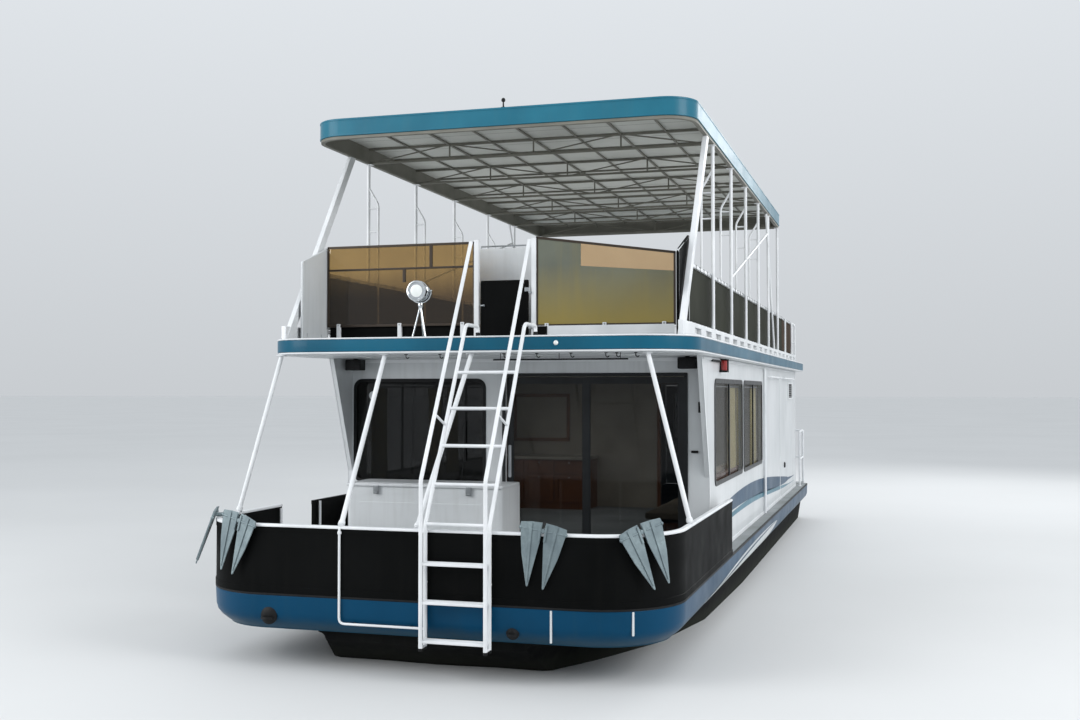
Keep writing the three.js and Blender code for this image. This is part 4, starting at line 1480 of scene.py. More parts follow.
@dataclass
class BowLocker:
    """The moulded locker under the helm window, with a lid that lifts."""

    left: float = -1.69
    right: float = 0.0
    front: float = -5.0
    back: float = -4.3503
    top: float = 1.4

    def build(self) -> None:
        """Builds the shell as an open box, then its lid and its metalwork."""
        low, high = DECK_SEAT, self.top - 0.031
        outer = rounded_rect(self.left, self.right, self.front, self.back, 0.05)
        inner = rounded_rect(
            self.left + 0.025, self.right - 0.025, self.front + 0.025, self.back - 0.05, 0.03
        )
        rings = [
            [(x, y, low) for x, y in outer],
            [(x, y, high - 0.006) for x, y in outer],
            [(x * 0.9995 - 0.0004, y, high) for x, y in outer],
            [(x, y, high) for x, y in inner],
            [(x, y, low + 0.03) for x, y in inner],
        ]
        shell = skin(rings)
        kick = block(
            (self.left + 0.02, self.front - 0.004, low),
            (self.right - 0.02, self.front + 0.01, low + 0.06), 0.003,
        )
        panel = plate(
            rounded_rect(self.left + 0.12, self.right - 0.12, low + 0.14, high - 0.16, 0.05),
            Axis.Y, self.front - 0.006, self.front + 0.004, 0.003,
        )
        hand_over(
            "locker_shell", [shell, kick, panel], WHITE_GELCOAT, slot="locker_shell",
            node="bow_locker",
        )
        lid_low, lid_high = self.top - 0.03, self.top
        lid = plate(
            rounded_rect(self.left - 0.012, self.right + 0.012, self.front - 0.018, -4.4015, 0.045),
            Axis.Z, lid_low, lid_high, 0.007,
        )
        raised = plate(
            rounded_rect(self.left + 0.06, self.right - 0.06, self.front + 0.05, -4.46, 0.06),
            Axis.Z, lid_high - 0.004, lid_high + 0.004, 0.003,
        )
        hand_over(
            "locker_lid_top", [lid, raised], WHITE_GELCOAT, slot="locker_shell", body="locker_lid",
            node="bow_locker_lid",
        )
        latches = []
        for x in (-1.35, -0.34):
            latches += [
                block(
                    (x - 0.03, self.front - 0.03, lid_low - 0.075),
                    (x + 0.03, self.front - 0.019, lid_low + 0.012), 0.004,
                ),
                tube(
                    [[
                        (x - 0.022, self.front - 0.034, lid_low - 0.06),
                        (x + 0.022, self.front - 0.034, lid_low - 0.06),
                    ]],
                    0.005,
                ),
            ]
        hand_over("locker_latches", latches, STAINLESS, body="locker_lid")


# The cabin


def hoop(
    outer: Sequence[Flat], inner: Sequence[Flat], axis: Axis, start: float, end: float
) -> Piece:
    """A flat frame between two outlines of the same number of points."""
    loops = [(outer, start), (outer, end), (inner, end), (inner, start), (outer, start)]
    return skin([[axis.spot(at, a, b) for a, b in line] for line, at in loops], capped=False)


@dataclass
class Cabin:
    """The cabin's walls with their windows, frames, trims and small fittings."""

    half: float = CABIN_HALF
    front: float = CABIN_FRONT
    back: float = CABIN_BACK
    soffit: float = CABIN_SOFFIT
    sill: float = 1.38
    head: float = 2.46
    helm: Flat = (-1.895, -0.41)
    side_windows: Sequence[Flat] = ((-3.98, -1.75), (-1.6, 0.36))

    def build(self) -> None:
        """Dresses the walls and builds what is let into them or fixed on them."""
        for name in ("front", "port", "stbd", "stern"):
            dress_node(f"cabin_{name}_wall", WHITE_GELCOAT)
        self.helm_window()
        self.side_glass()
        self.wall_trims()
        self.wall_stripes()
        self.front_fittings()
        self.side_fittings()

    def helm_window(self) -> None:
        """The helm's window in a black rubber frame with round corners."""
        opening = Opening(*self.helm, self.sill, self.head)
        pane = plate(
            opening.outline(0.0004, 0.08, 8), Axis.Y, self.front + 0.018, self.front + 0.026
        )
        hand_over("helm_pane", [pane], TINTED_GLASS, node="helm_window")
        outer, inner = opening.outline(-0.022, 0.1, 8), opening.outline(0.014, 0.068, 8)
        bead = rounded(hoop(outer, inner, Axis.Y, self.front - 0.008, self.front), 0.003)
        arm = tube(
            [[(-0.66, self.front - 0.012, 1.40), (-0.62, self.front - 0.014, 1.78)]], 0.004,
            around=8,
        )
        hub = turned(
            [(0, 0.018), (0.02, 0.016), (0.028, 0.01)], (-0.66, self.front - 0.002, 1.40), AHEAD
        )
        blade = block((-0.632, self.front - 0.012, 1.6), (-0.612, self.front - 0.006, 2.02), 0.002)
        hand_over("helm_window_frame", [bead, arm, hub, blade], BLACK_MOULDED, slot="door_frame")

    def side_glass(self) -> None:
        """The side windows, each with a frame, a divider and a sliding pane's rail."""
        x = self.half - 0.027
        for name, side in SIDES.items():
            panes, frames = [], []
            face = side * self.half
            for start, end in self.side_windows:
                opening = Opening(start, end, self.sill, self.head)
                pane = opening.outline(0.0004, 0.08, 8)
                panes.append(plate(pane, Axis.X, side * (x + 0.001), side * (x + 0.009)))
                outer, inner = opening.outline(-0.02, 0.1, 8), opening.outline(0.03, 0.055, 8)
                frames.append(rounded(hoop(outer, inner, Axis.X, face, face + side * 0.009), 0.003))
                middle = (start + end) / 2
                frames.append(
                    block(
                        (face - side * 0.014, middle - 0.022, self.sill + 0.01),
                        (face + side * 0.004, middle + 0.022, self.head - 0.01), 0.003,
                    )
                )
            rail_x, rail_z = side * 1.914, self.head - 0.061
            front, back = self.side_windows[0][0] + 0.06, self.side_windows[-1][1] - 0.06
            rail = tube([[(rail_x, front, rail_z), (rail_x, back, rail_z)]], 0.008)
            hand_over(f"{name}_window_panes", panes, SIDE_GLASS, node=f"{name}_windows")
            hand_over(f"{name}_window_frames", frames, DARK_FRAME)
            hand_over(f"{name}_curtain_rail", [rail], STAINLESS)
            self.curtains(name, side)

    def curtains(self, name: str, side: int) -> None:
        """A gathered curtain at each end of each side window.

        Args:
            name: the side's name.
            side: 1 for port and -1 for starboard.
        """
        pleats, depth, high, low = 7, 0.022, self.head - 0.075, self.sill - 0.1
        number = 0
        for start, end in self.side_windows:
            for at, way in ((start + 0.05, 1), (end - 0.05, -1)):
                number += 1
                wide = 0.36 + 0.04 * (number % 3)
                steps = pleats * 10
                rows, flat = [], 0.0
                for j in range(15):
                    drop = j / 14
                    line = []
                    for k in range(steps + 1):
                        t = k / steps
                        fold = math.sin(math.tau * pleats * t + 0.35 * math.sin(5 * drop + number))
                        squeeze = 1 - 0.06 * math.sin(math.pi * drop)
                        drift = 0.008 * math.sin(math.tau * 3 * t + number)
                        y = at + way * wide * squeeze * (t + drift)
                        x = side * (1.888 + depth * (0.75 + 0.35 * drop) * fold)
                        line.append((x, y, high + (low - high) * drop))
                    rows.append(line)
                    flat += math.fsum(math.dist(a, b) for a, b in zip(line, line[1:])) / 15
                cloth = skin(rows, closed=False)
                made = hand_over(f"{name}_curtain_{number}", [cloth], CURTAIN_FABRIC, crease=80)

    def wall_trims(self) -> None:
        """Corner angles, a drip rail under the upper deck and a skirting at the deck."""
        parts = []
        low, high = DECK_TOP + 0.001, self.soffit - 0.001
        for side in (1, -1):
            face = side * self.half
            edge = [
                (-4.354, low), (-4.32, low), (-4.32, 1.488), (-4.787, high), (-4.824, high),
                (-4.354, 1.478),
            ]
            parts += [
                plate(edge, Axis.X, face, face + side * 0.004, 0.0015),
                block(
                    (face, -4.77, high - 0.03), (face + side * 0.014, self.back, high - 0.004),
                    0.004,
                ),
                block((face, -4.35, low), (face + side * 0.008, self.back, low + 0.045), 0.003),
                block(
                    (face, self.back - 0.03, low), (face + side * 0.004, self.back + 0.004, high),
                    0.0015,
                ),
                block(
                    (face, 0.62, self.sill - 0.6), (face + side * 0.004, 0.65, high - 0.03), 0.0015
                ),
                block((face, 2.9, low + 0.045), (face + side * 0.004, 2.93, high - 0.03), 0.0015),
            ]
        parts.append(block(
            (-1.93, self.front - 0.006, high - 0.04), (1.93, self.front, high - 0.006), 0.002
        ))
        hand_over("cabin_trims", parts, WHITE_TUBE, slot="white_panel")

    def wall_stripes(self) -> None:
        """Two plain sweeping stripes along each side under the windows."""
        finishes = (
            # tone, finish, level, greatest width, swing
            ("blue", BLUE_GELCOAT, 0.98, 0.10, 0.11),
            ("teal", TEAL_PAINT, 0.87, 0.035, 0.09),
        )
        steps, proud = 40, 0.0008
        for tone, finish, level, width, swing in finishes:
            films = []
            for side in (1, -1):
                rows = []
                for k in range(steps + 1):
                    t = k / steps
                    y = -4.2 + 9.6 * t
                    z = level + swing * math.sin(1.35 * math.pi * t + 0.4)
                    if t < 0.87:
                        half = width * (0.25 + 0.75 * math.sin(math.pi * min(1.0, t * 1.15)) ** 0.6)
                    else:
                        half = width * 0.25 * (1 - t) / 0.13
                    half = max(half, 0.003)
                    rows.append([
                        (side * (self.half + proud), y, z - half + half * j) for j in range(3)
                    ])
                films.append(thickened(skin(rows, closed=False), proud))
            hand_over(f"wall_stripe_{tone}", films, finish)

    def front_fittings(self) -> None:
        """Speakers, a lock, a deck lamp, hooks and downlights round the cabin's front."""
        black, pale = [], []
        ceiling, hooks_y, rod = self.soffit - 0.0003, -5.95, (-5.93, 2.637)
        for side in (1, -1):
            x = side * 1.80
            black.append(block((x - 0.09, -4.64, 2.570), (x + 0.09, -4.50, 2.686), 0.012, 3))
            for dx, radius in ((-0.03, 0.05), (0.05, 0.022)):
                cone = [(0, radius), (0.004, radius), (0.006, radius * 0.85)]
                black.append(turned(cone, (x + dx, -4.64, 2.628), AHEAD))
            black.append(block((x - 0.02, -4.58, 2.684), (x + 0.02, -4.54, ceiling), 0.003))
        black += [
            block((1.872, self.front - 0.022, 2.13), (1.902, self.front + 0.001, 2.24), 0.006),
            block((1.80, self.front - 0.03, 1.725), (1.872, self.front + 0.001, 1.75), 0.006),
        ]
        for x in (-0.63, -0.288, 0.34, 0.655, 0.976, 1.30, 1.40, 1.574):
            dips = ((0.0, self.soffit), (0.0, 2.665), (0.016, 2.651), (0.032, 2.665))
            hook = [(x + dx, hooks_y, z) for dx, z in dips]
            black += [
                block((x - 0.012, -5.965, 2.688), (x + 0.012, -5.935, ceiling), 0.002),
                tube([hook], 0.0045, 0.01, 8),
            ]
        black.append(tube([[(0.23, *rod), (1.50, *rod)]], 0.007, around=8))
        black += [
            tube([[(x, *rod), (x, rod[0], self.soffit)]], 0.003, around=8)
            for x in (0.3, 0.86, 1.43)
        ]
        lamp = [(0, 0.045), (0.006, 0.045), (0.01, 0.036), (0.011, 0.03)]
        for k in range(4):
            pale.append(turned(lamp, (-1.35 + 0.9 * k, -5.2, ceiling), UNDER))
        hand_over("front_black_fittings", black, BLACK_MOULDED)
        hand_over("soffit_downlights", pale, LAMP_LENS)
        disc = turned(
            [(0, 0.045), (0.002, 0.045), (0.003, 0.04)], (-1.70, self.front + 0.0178, 2.30), AHEAD
        )
        hand_over("window_disc", [disc], WHITE_TUBE, slot="white_panel")

    def side_fittings(self) -> None:
        """A drain pipe, grab rails, louvres and a shore-power inlet on the side walls."""
        white, dark = [], []
        for side in (1, -1):
            face = side * self.half
            pipe = face + side * 0.024
            white.append(tube(
                [[(pipe, 0.56, 0.66), (pipe, 0.56, 2.645), (face, 0.56, 2.675)]], 0.019, 0.04
            ))
            for z in (0.9, 1.6, 2.3):
                white += [
                    turned([(-0.012, 0.024), (0.012, 0.024)], (pipe, 0.56, z)),
                    block((face, 0.545, z - 0.012), (pipe, 0.575, z + 0.012), 0.003),
                ]
            for y0, y1 in ((1.1, 2.7), (3.2, 4.9)):
                out = face + side * 0.055
                ends = [
                    (face, y0, 2.55), (out, y0 + 0.02, 2.55), (out, y1 - 0.02, 2.55),
                    (face, y1, 2.55),
                ]
                white.append(tube([ends], 0.0125, 0.03))
            for row in range(6):
                z = 2.255 + 0.035 * row
                slat = plate(
                    [(4.3, z), (4.95, z), (4.95, z + 0.004), (4.3, z + 0.004)], Axis.X, face,
                    face + side * 0.016, 0.001,
                )
                white.append(slat)
            outer = rounded_rect(4.26, 4.99, 2.21, 2.49, 0.02)
            inner = rounded_rect(4.29, 4.96, 2.235, 2.465, 0.008)
            white.append(rounded(hoop(outer, inner, Axis.X, face, face + side * 0.018), 0.003))
            dark += [
                plate(inner, Axis.X, face, face + side * 0.002),
                turned([(0, 0.045), (0.012, 0.045), (0.02, 0.036)], (face, 3.6, 1.15), (side, 0, 0))
            ]
        hand_over("side_wall_fittings", white, WHITE_TUBE)
        hand_over("side_wall_recesses", dark, BLACK_MOULDED)


@dataclass
class GlazedPanel:
    """A glazed panel of the patio door."""

    left: float
    right: float
    face: float
    low: float = 0.6453
    high: float = 2.494
    stile: float = 0.062
    thick: float = 0.024

    def frame(self) -> Piece:
        """The extruded frame with a bead round the glass.

        Returns:
            The frame.
        """
        edge, inset = Opening(self.left, self.right, self.low, self.high), self.stile
        outer, inner = edge.outline(0.0, 0.003, 2), edge.outline(inset, 0.006, 2)
        body = rounded(hoop(outer, inner, Axis.Y, self.face, self.face + self.thick), 0.002)
        bead_out = edge.outline(inset - 0.004, 0.006, 2)
        bead_in = edge.outline(inset + 0.008, 0.004, 2)
        bead = hoop(bead_out, bead_in, Axis.Y, self.face + 0.004, self.face + 0.02)
        return joined([body, bead])

    def glass(self) -> Piece:
        """The pane.

        Returns:
            The glass.
        """
        edge = Opening(self.left, self.right, self.low, self.high)
        return plate(
            edge.outline(self.stile - 0.005, 0.004, 2), Axis.Y, self.face + 0.009, self.face + 0.015
        )


@dataclass
class Doors:
    """The sliding patio door in the cabin's front and the hinged door in its stern."""

    middle: float = 0.70
    overlap: float = 0.045
    stern_hinges: Flat = (0.95, 2.15)

    def build(self) -> None:
        """Builds both doors and their surrounds."""
        self.patio()
        self.patio_surround()
        self.stern()

    def patio(self) -> None:
        """The fixed and the sliding panel, the latter with its pull."""
        fixed = GlazedPanel(self.middle - self.overlap / 2, 1.7297, -4.342)
        sliding = GlazedPanel(-0.164, self.middle + self.overlap / 2, -4.312)
        hand_over("fixed_panel_frame", [fixed.frame()], DARK_FRAME, node="patio_door_fixed")
        hand_over("fixed_panel_glass", [fixed.glass()], DOOR_GLASS)
        hand_over(
            "sliding_panel_frame", [sliding.frame()], DARK_FRAME, body="patio_door",
            node="patio_door_sliding",
        )
        hand_over("sliding_panel_glass", [sliding.glass()], DOOR_GLASS, body="patio_door")
        inside = [
            (-0.134, -4.288, 1.50), (-0.134, -4.262, 1.50), (-0.134, -4.262, 1.72),
            (-0.134, -4.288, 1.72),
        ]
        cup_rim = rounded_rect(-0.150, -0.118, 1.44, 1.78, 0.012)
        cup = rounded_rect(-0.143, -0.125, 1.45, 1.77, 0.008)
        parts = [tube([inside], 0.006, 0.012, 10), hoop(cup_rim, cup, Axis.Y, -4.3155, -4.3115)]
        parts.append(plate(cup, Axis.Y, -4.3128, -4.3115, 0.0002))
        hand_over("sliding_panel_pull", parts, STAINLESS, body="patio_door")

    def patio_surround(self) -> None:
        """A dark surround on the wall, with the threshold and its two tracks."""
        outer = rounded_rect(-0.205, 1.765, 0.6460, 2.535, 0.006, 2)
        inner = rounded_rect(-0.17, 1.73, 0.6462, 2.5, 0.004, 2)
        ring = rounded(hoop(outer, inner, Axis.Y, -4.362, -4.3503), 0.002)
        sill = block((-0.168, -4.372, DECK_TOP + 0.0003), (1.728, -4.346, DECK_TOP + 0.016), 0.003)
        tracks = [
            block((-0.168, y, DECK_TOP + 0.0003), (1.728, y + 0.004, DECK_TOP + 0.004), 0.001)
            for y in (-4.272, -4.26)
        ]
        hand_over("patio_door_surround", [ring, sill, *tracks], DARK_FRAME)

    def stern(self) -> None:
        """The stern door: a leaf with a pressed panel, a light, hinges and a lever."""
        front, back = 5.662, 5.702
        outer = rounded_rect(-0.35, 0.4, 0.657, 2.444, 0.004, 2)
        inner = rounded_rect(-0.21, 0.26, 1.5, 2.3, 0.03, 2)
        leaf = rounded(hoop(outer, inner, Axis.Y, front, back), 0.002)
        bead_out = rounded_rect(-0.225, 0.275, 1.485, 2.315, 0.04)
        bead_in = rounded_rect(-0.195, 0.245, 1.515, 2.285, 0.02)
        bead = rounded(hoop(bead_out, bead_in, Axis.Y, back - 0.001, back + 0.007), 0.002)
        panel = plate(
            rounded_rect(-0.24, 0.29, 0.80, 1.36, 0.04), Axis.Y, back - 0.002, back + 0.005, 0.003
        )
        hand_over(
            "stern_door_leaf", [leaf, bead, panel], WHITE_GELCOAT, body="stern_door",
            node="stern_door",
        )
        pane = plate(rounded_rect(-0.218, 0.268, 1.492, 2.308, 0.03), Axis.Y, 5.678, 5.686)
        hand_over("stern_door_pane", [pane], TINTED_GLASS, body="stern_door")
        metal = []
        for z in self.stern_hinges:
            metal += [
                turned([(-0.0195, 0.009), (0.024, 0.009)], (-0.37, 5.712, z)),
                block((-0.37, 5.7022, z - 0.016), (-0.29, 5.7102, z + 0.024), 0.002),
            ]
            metal += [bolt((x, 5.7102, z + 0.004), ABAFT, 0.005) for x in (-0.335, -0.305)]
        metal += [
            turned(
                [(0, 0.028), (0.006, 0.028), (0.01, 0.012), (0.05, 0.011)], (0.34, 5.702, 1.5),
                ABAFT,
            ),
            tube([[(0.34, 5.745, 1.5), (0.24, 5.748, 1.5), (0.225, 5.735, 1.5)]], 0.008, 0.012),
        ]
        hand_over("stern_door_metal", metal, STAINLESS, body="stern_door")
        lugs = [
            block((-0.416, 5.7003, z - 0.046), (-0.362, 5.7218, z - 0.0204), 0.002)
            for z in self.stern_hinges
        ]
        hand_over("stern_door_lugs", lugs, STAINLESS)


@dataclass
class Saloon:
    """What shows through the cabin's glass: helm, bulkhead, galley and sofa."""

    low: float = DECK_SEAT
    galley: tuple[float, float, float, float] = (-1.92, -0.5, 0.4, 0.99)
    galley_top: float = 1.40
    doorway: Flat = (0.45, 1.2)

    def build(self) -> None:
        """Builds the furniture from the helm aft."""
        self.console()
        self.wheel()
        self.bulkhead()
        self.cupboards()
        self.sofa()

    def console(self) -> None:
        """The helm console with an instrument face of plain dials and switches."""
        desk = [(-4.29, self.low), (-3.95, self.low), (-3.90, 1.25), (-4.29, 1.37)]
        body = plate(desk, Axis.X, -1.9, -0.65, 0.012)
        boss = turned(
            [(-0.02, 0.045), (0.02, 0.04), (0.06, 0.03), (0.15, 0.028)], (-1.25, -3.957, 1.18),
            ABAFT,
        )
        toe = block((-1.88, -3.96, self.low), (-0.67, -3.94, self.low + 0.08), 0.004)
        hand_over("helm_desk", [body, boss, toe], WHITE_GELCOAT, node="helm_console")
        dark = []
        for k in range(4):
            at = (-1.62 + 0.16 * k, -3.915, 1.10)
            dark.append(turned([(-0.01, 0.05), (0.004, 0.05), (0.012, 0.044)], at, (0, 0.99, 0.08)))
        for k in range(6):
            dark.append(block(
                (-1.02 + 0.05 * k, -3.93, 1.04), (-0.99 + 0.05 * k, -3.90, 1.09), 0.003
            ))
        dark += [
            block((-0.86, -4.0, 1.27), (-0.80, -3.94, 1.40), 0.008),
            tube([[(-0.83, -3.97, 1.38), (-0.83, -3.93, 1.5)]], 0.008),
            turned(
                [(-0.02, 0.012), (0, 0.022), (0.02, 0.012)], (-0.83, -3.925, 1.51), (0, 0.3, 0.95)
            ),
        ]
        hand_over("helm_dials", dark, BLACK_MOULDED, slot="door_frame")

    def wheel(self) -> None:
        """The steering wheel: a round rim, three spokes and a hub."""
        x, y, z, radius = -1.25, -3.78, 1.18, 0.19
        deselect()
        bpy.ops.mesh.primitive_torus_add(
            location=(x, y, z), rotation=(math.pi / 2, 0, 0), major_radius=radius,
            minor_radius=0.0125, major_segments=48, minor_segments=12,
        )
        rim = settle(bpy.context.object)
        grips = [
            turned(
                [(-0.012, 0.0135), (0, 0.0145), (0.012, 0.0135)],
                (x + radius * math.sin(t), y, z + radius * math.cos(t)),
                (math.cos(t), 0, -math.sin(t)), 12,
            )
            for t in [math.tau * k / 12 for k in range(12)]
        ]
        hand_over(
            "wheel_rim", [rim, *grips], BLACK_MOULDED, slot="chrome", body="helm_wheel",
            node="helm_wheel",
        )
        spokes = [
            tube(
                [[
                    (x, y, z), (x + radius * 0.97 * math.sin(t), y, z - radius * 0.97 * math.cos(t))
                ]],
                0.008,
            )
            for t in (0, math.tau / 3, -math.tau / 3)
        ]
        hub = turned(
            [(-0.0255, 0.03), (-0.02, 0.032), (0.006, 0.032), (0.014, 0.024), (0.016, 0.01)],
            (x, y, z), ABAFT,
        )
        hand_over("wheel_spokes", [*spokes, hub], CHROME, body="helm_wheel")

    def bulkhead(self) -> None:
        """The bulkhead behind the saloon, its doorway and a framed plain panel."""
        left, right = self.doorway
        high, head, face, rear = CABIN_SOFFIT - 0.0004, 2.45, 1.0, 1.04
        walls = [
            block((-1.934, face, self.low), (left, rear, high), 0.002),
            block((right, face, self.low), (1.934, rear, high), 0.002),
            block((left - 0.001, face, head), (right + 0.001, rear, high), 0.002),
        ]
        hand_over("bulkhead_panels", walls, PALE_LAMINATE, node="saloon_bulkhead")
        outer = rounded_rect(-1.80, -0.92, 1.60, 2.31, 0.004, 2)
        inner = rounded_rect(-1.75, -0.97, 1.65, 2.26, 0.004, 2)
        frame_ring = rounded(hoop(outer, inner, Axis.Y, 0.982, 0.9998), 0.004)
        casing = [
            block((a, 0.985, low), (b, 0.9998, 2.50), 0.003)
            for a, b, low in (
                (left - 0.05, left, self.low), (right, right + 0.05, self.low),
                (left - 0.05, right + 0.05, head),
            )
        ]
        hand_over("bulkhead_woodwork", [frame_ring, *casing], CABIN_WOOD)
        field_panel = plate(inner, Axis.Y, 0.992, 0.9998)
        hand_over("framed_plain_panel", [field_panel], PALE_LAMINATE, slot="white_panel")

    def cupboards(self) -> None:
        """Galley cupboards with framed doors under a pale worktop."""
        x0, x1, y0, y1 = self.galley
        carcass = block((x0, y0 + 0.02, self.low), (x1, y1, self.galley_top - 0.04), 0.004)
        parts, knobs = [carcass], []
        doors = 3
        for k in range(doors):
            a = x0 + 0.03 + (x1 - x0 - 0.06) * k / doors
            b = x0 + 0.03 + (x1 - x0 - 0.06) * (k + 1) / doors - 0.02
            for low, high in ((self.low + 0.1, 1.13), (1.16, self.galley_top - 0.06)):
                stile = min(0.05, (high - low) * 0.3)
                outer = rounded_rect(a, b, low, high, 0.004, 2)
                inner = rounded_rect(a + 0.05, b - 0.05, low + stile, high - stile, 0.004, 2)
                parts += [
                    rounded(hoop(outer, inner, Axis.Y, y0, y0 + 0.0205), 0.003),
                    plate(inner, Axis.Y, y0 + 0.010, y0 + 0.0205),
                ]
                knobs.append(turned(
                    [(0, 0.006), (0.012, 0.006), (0.016, 0.013), (0.026, 0.012)],
                    ((a + b) / 2, y0, high - 0.024), AHEAD, 12,
                ))
        hand_over("galley_cupboards", parts, CABIN_WOOD, node="galley_counter")
        top = plate(
            rounded_rect(x0, x1 + 0.02, y0 - 0.03, y1 + 0.009, 0.02), Axis.Z,
            self.galley_top - 0.04, self.galley_top, 0.006,
        )
        hand_over("galley_worktop", [top], PALE_LAMINATE)
        hand_over("galley_knobs", knobs, STAINLESS)

    def cushion(self, low: Point, high: Point, crown: float) -> Piece:
        """A crowned cushion with pulled-in sides; its seam runs round the middle.

        Args:
            low: its lowest corner.
            high: its highest corner.
            crown: how far its faces bulge.

        Returns:
            The cushion.
        """
        middle = [(a + b) / 2 for a, b in zip(low, high)]
        half = [(b - a) / 2 for a, b in zip(low, high)]
        deselect()
        bpy.ops.mesh.primitive_cube_add(size=2)
        made = bpy.context.object
        with shaping(made):
            bpy.ops.mesh.subdivide(number_cuts=11)
        thin = half.index(min(half))
        for vertex in made.data.vertices:
            co = list(vertex.co)
            across = [k for k in range(3) if k != thin]
            rise = (1 - co[across[0]] ** 4) * (1 - co[across[1]] ** 4)
            waist = 1 - 0.10 * (1 - abs(co[thin]) ** 2)
            for k in across:
                pull = 1 - 0.018 * (1 - co[across[0]] ** 2 * co[across[1]] ** 2) * abs(co[k]) ** 6
                co[k] = co[k] * pull * (
                    0.985 - 0.03 * abs(co[thin]) ** 8
                ) * (1 - 0.012 * (1 - waist))
            co[thin] = co[thin] * (half[thin] - crown * (1 - rise)) / half[thin]
            vertex.co = [m + h * c for m, h, c in zip(middle, half, co)]
        return rounded(made, 0.012, 2, 50)

    def sofa(self) -> None:
        """A plinth with three seat and three back cushions."""
        x0, x1, y0, y1 = 1.18, 1.925, -3.7, -1.5
        base = block((x0 + 0.02, y0 + 0.01, self.low), (x1, y1 - 0.01, 0.94), 0.01)
        rest = block((1.84, y0 + 0.01, 0.93), (x1, y1 - 0.01, 1.44), 0.012)
        hand_over("sofa_plinth", [base, rest], CABIN_WOOD, node="saloon_sofa")
        third = (y1 - y0) / 3
        for k in range(3):
            a, b = y0 + third * k + 0.006, y0 + third * (k + 1) - 0.006
            seat = hand_over(
                f"seat_cushion_{k + 1}", [self.cushion((x0, a, 0.942), (1.70, b, 1.08), 0.035)],
                SOFA_FABRIC,
            )
            back = hand_over(
                f"back_cushion_{k + 1}", [self.cushion((1.70, a, 0.99), (1.838, b, 1.475), 0.035)],
                SOFA_FABRIC,
            )


# The upper deck


@dataclass
class UpperDeck:
    """The slab over the cabin with its fascia, beads, lamps and deck coating."""

    low: float = 2.72
    high: float = 2.835
    thick: float = 0.0242

    def build(self) -> None:
        """Dresses the slab and builds what runs round it and under it."""
        dress_node("upper_deck", WHITE_GELCOAT)
        coat = plate(UPPER_PLAN.outline(0.035), Axis.Z, UPPER_TOP + 0.0002, UPPER_TOP + 0.0022)
        hand_over("upper_deck_coating", [coat], DECK_COAT)
        edge, t = UPPER_PLAN.outline(0.0, 14), self.thick
        band = [
            (0.0004, self.low), (t - 0.005, self.low), (t, self.low + 0.005),
            (t, self.high - 0.005), (t - 0.005, self.high), (0.0004, self.high),
        ]
        hand_over(
            "upper_fascia_band", [run_along(edge, band)], DEEP_TEAL, node="upper_fascia", crease=50
        )
        top, foot = self.high + 0.0003, self.low - 0.0203
        beads = [
            [
                (-0.02, top), (0.02, top), (0.027, top + 0.005), (0.027, top + 0.011),
                (0.02, top + 0.016), (-0.02, top + 0.016),
            ],
            [
                (0.0004, foot), (0.013, foot), (0.019, foot + 0.005), (0.019, foot + 0.015),
                (0.013, foot + 0.02), (0.0004, foot + 0.02),
            ],
        ]
        hand_over(
            "upper_fascia_beads", [run_along(edge, bead) for bead in beads], WHITE_TUBE, crease=50
        )
        self.lamps()
        self.underside()

    def lamps(self) -> None:
        """A small marker lamp on the fascia, and the side lights on the cabin walls."""
        face = UPPER_PLAN.front - self.thick
        dome = [(0, 0.022), (0.006, 0.022), (0.014, 0.016), (0.019, 0.006)]
        lamp = turned(dome, (0.885, face, 2.78), AHEAD)
        hand_over("fascia_marker_lamp", [lamp], LAMP_LENS)
        for name, side, finish in (("port", 1, RED_LENS), ("stbd", -1, GREEN_LENS)):
            x, y = side * CABIN_HALF, -3.6
            lens = turned(
                [(0, 0.034), (0.1, 0.034), (0.11, 0.026)], (x + side * 0.045, y, 2.568), (0, 0, 1),
                20,
            )
            hand_over(f"{name}_side_light", [lens], finish)
            foot, cap = 2.548, 2.689
            shell = [
                block((x, y - 0.045, foot), (x + side * 0.085, y + 0.045, foot + 0.02), 0.004),
                block((x, y - 0.045, cap - 0.014), (x + side * 0.085, y + 0.045, cap), 0.004),
                block((x, y + 0.03, foot), (x + side * 0.09, y + 0.045, cap), 0.003),
                block(
                    (x + side * 0.004, y - 0.62, 2.650), (x + side * 0.022, y - 0.10, 2.672), 0.003
                ),
            ]
            hand_over(f"{name}_side_light_base", shell, BLACK_MOULDED)

    def underside(self) -> None:
        """Cover strips over the joints of the overhang's lining, and an edge angle."""
        low = CABIN_SOFFIT - 0.005
        parts = [
            block((-2.0, y, low), (2.0, y + 0.03, CABIN_SOFFIT), 0.0015) for y in (-5.9, -5.35)
        ]
        parts += [
            block((x, -5.87, low), (x + 0.03, -4.76, CABIN_SOFFIT), 0.0015)
            for x in (-1.26, -0.02, 1.22)
        ]
        hand_over("soffit_strips", parts, WHITE_TUBE, slot="white_panel")


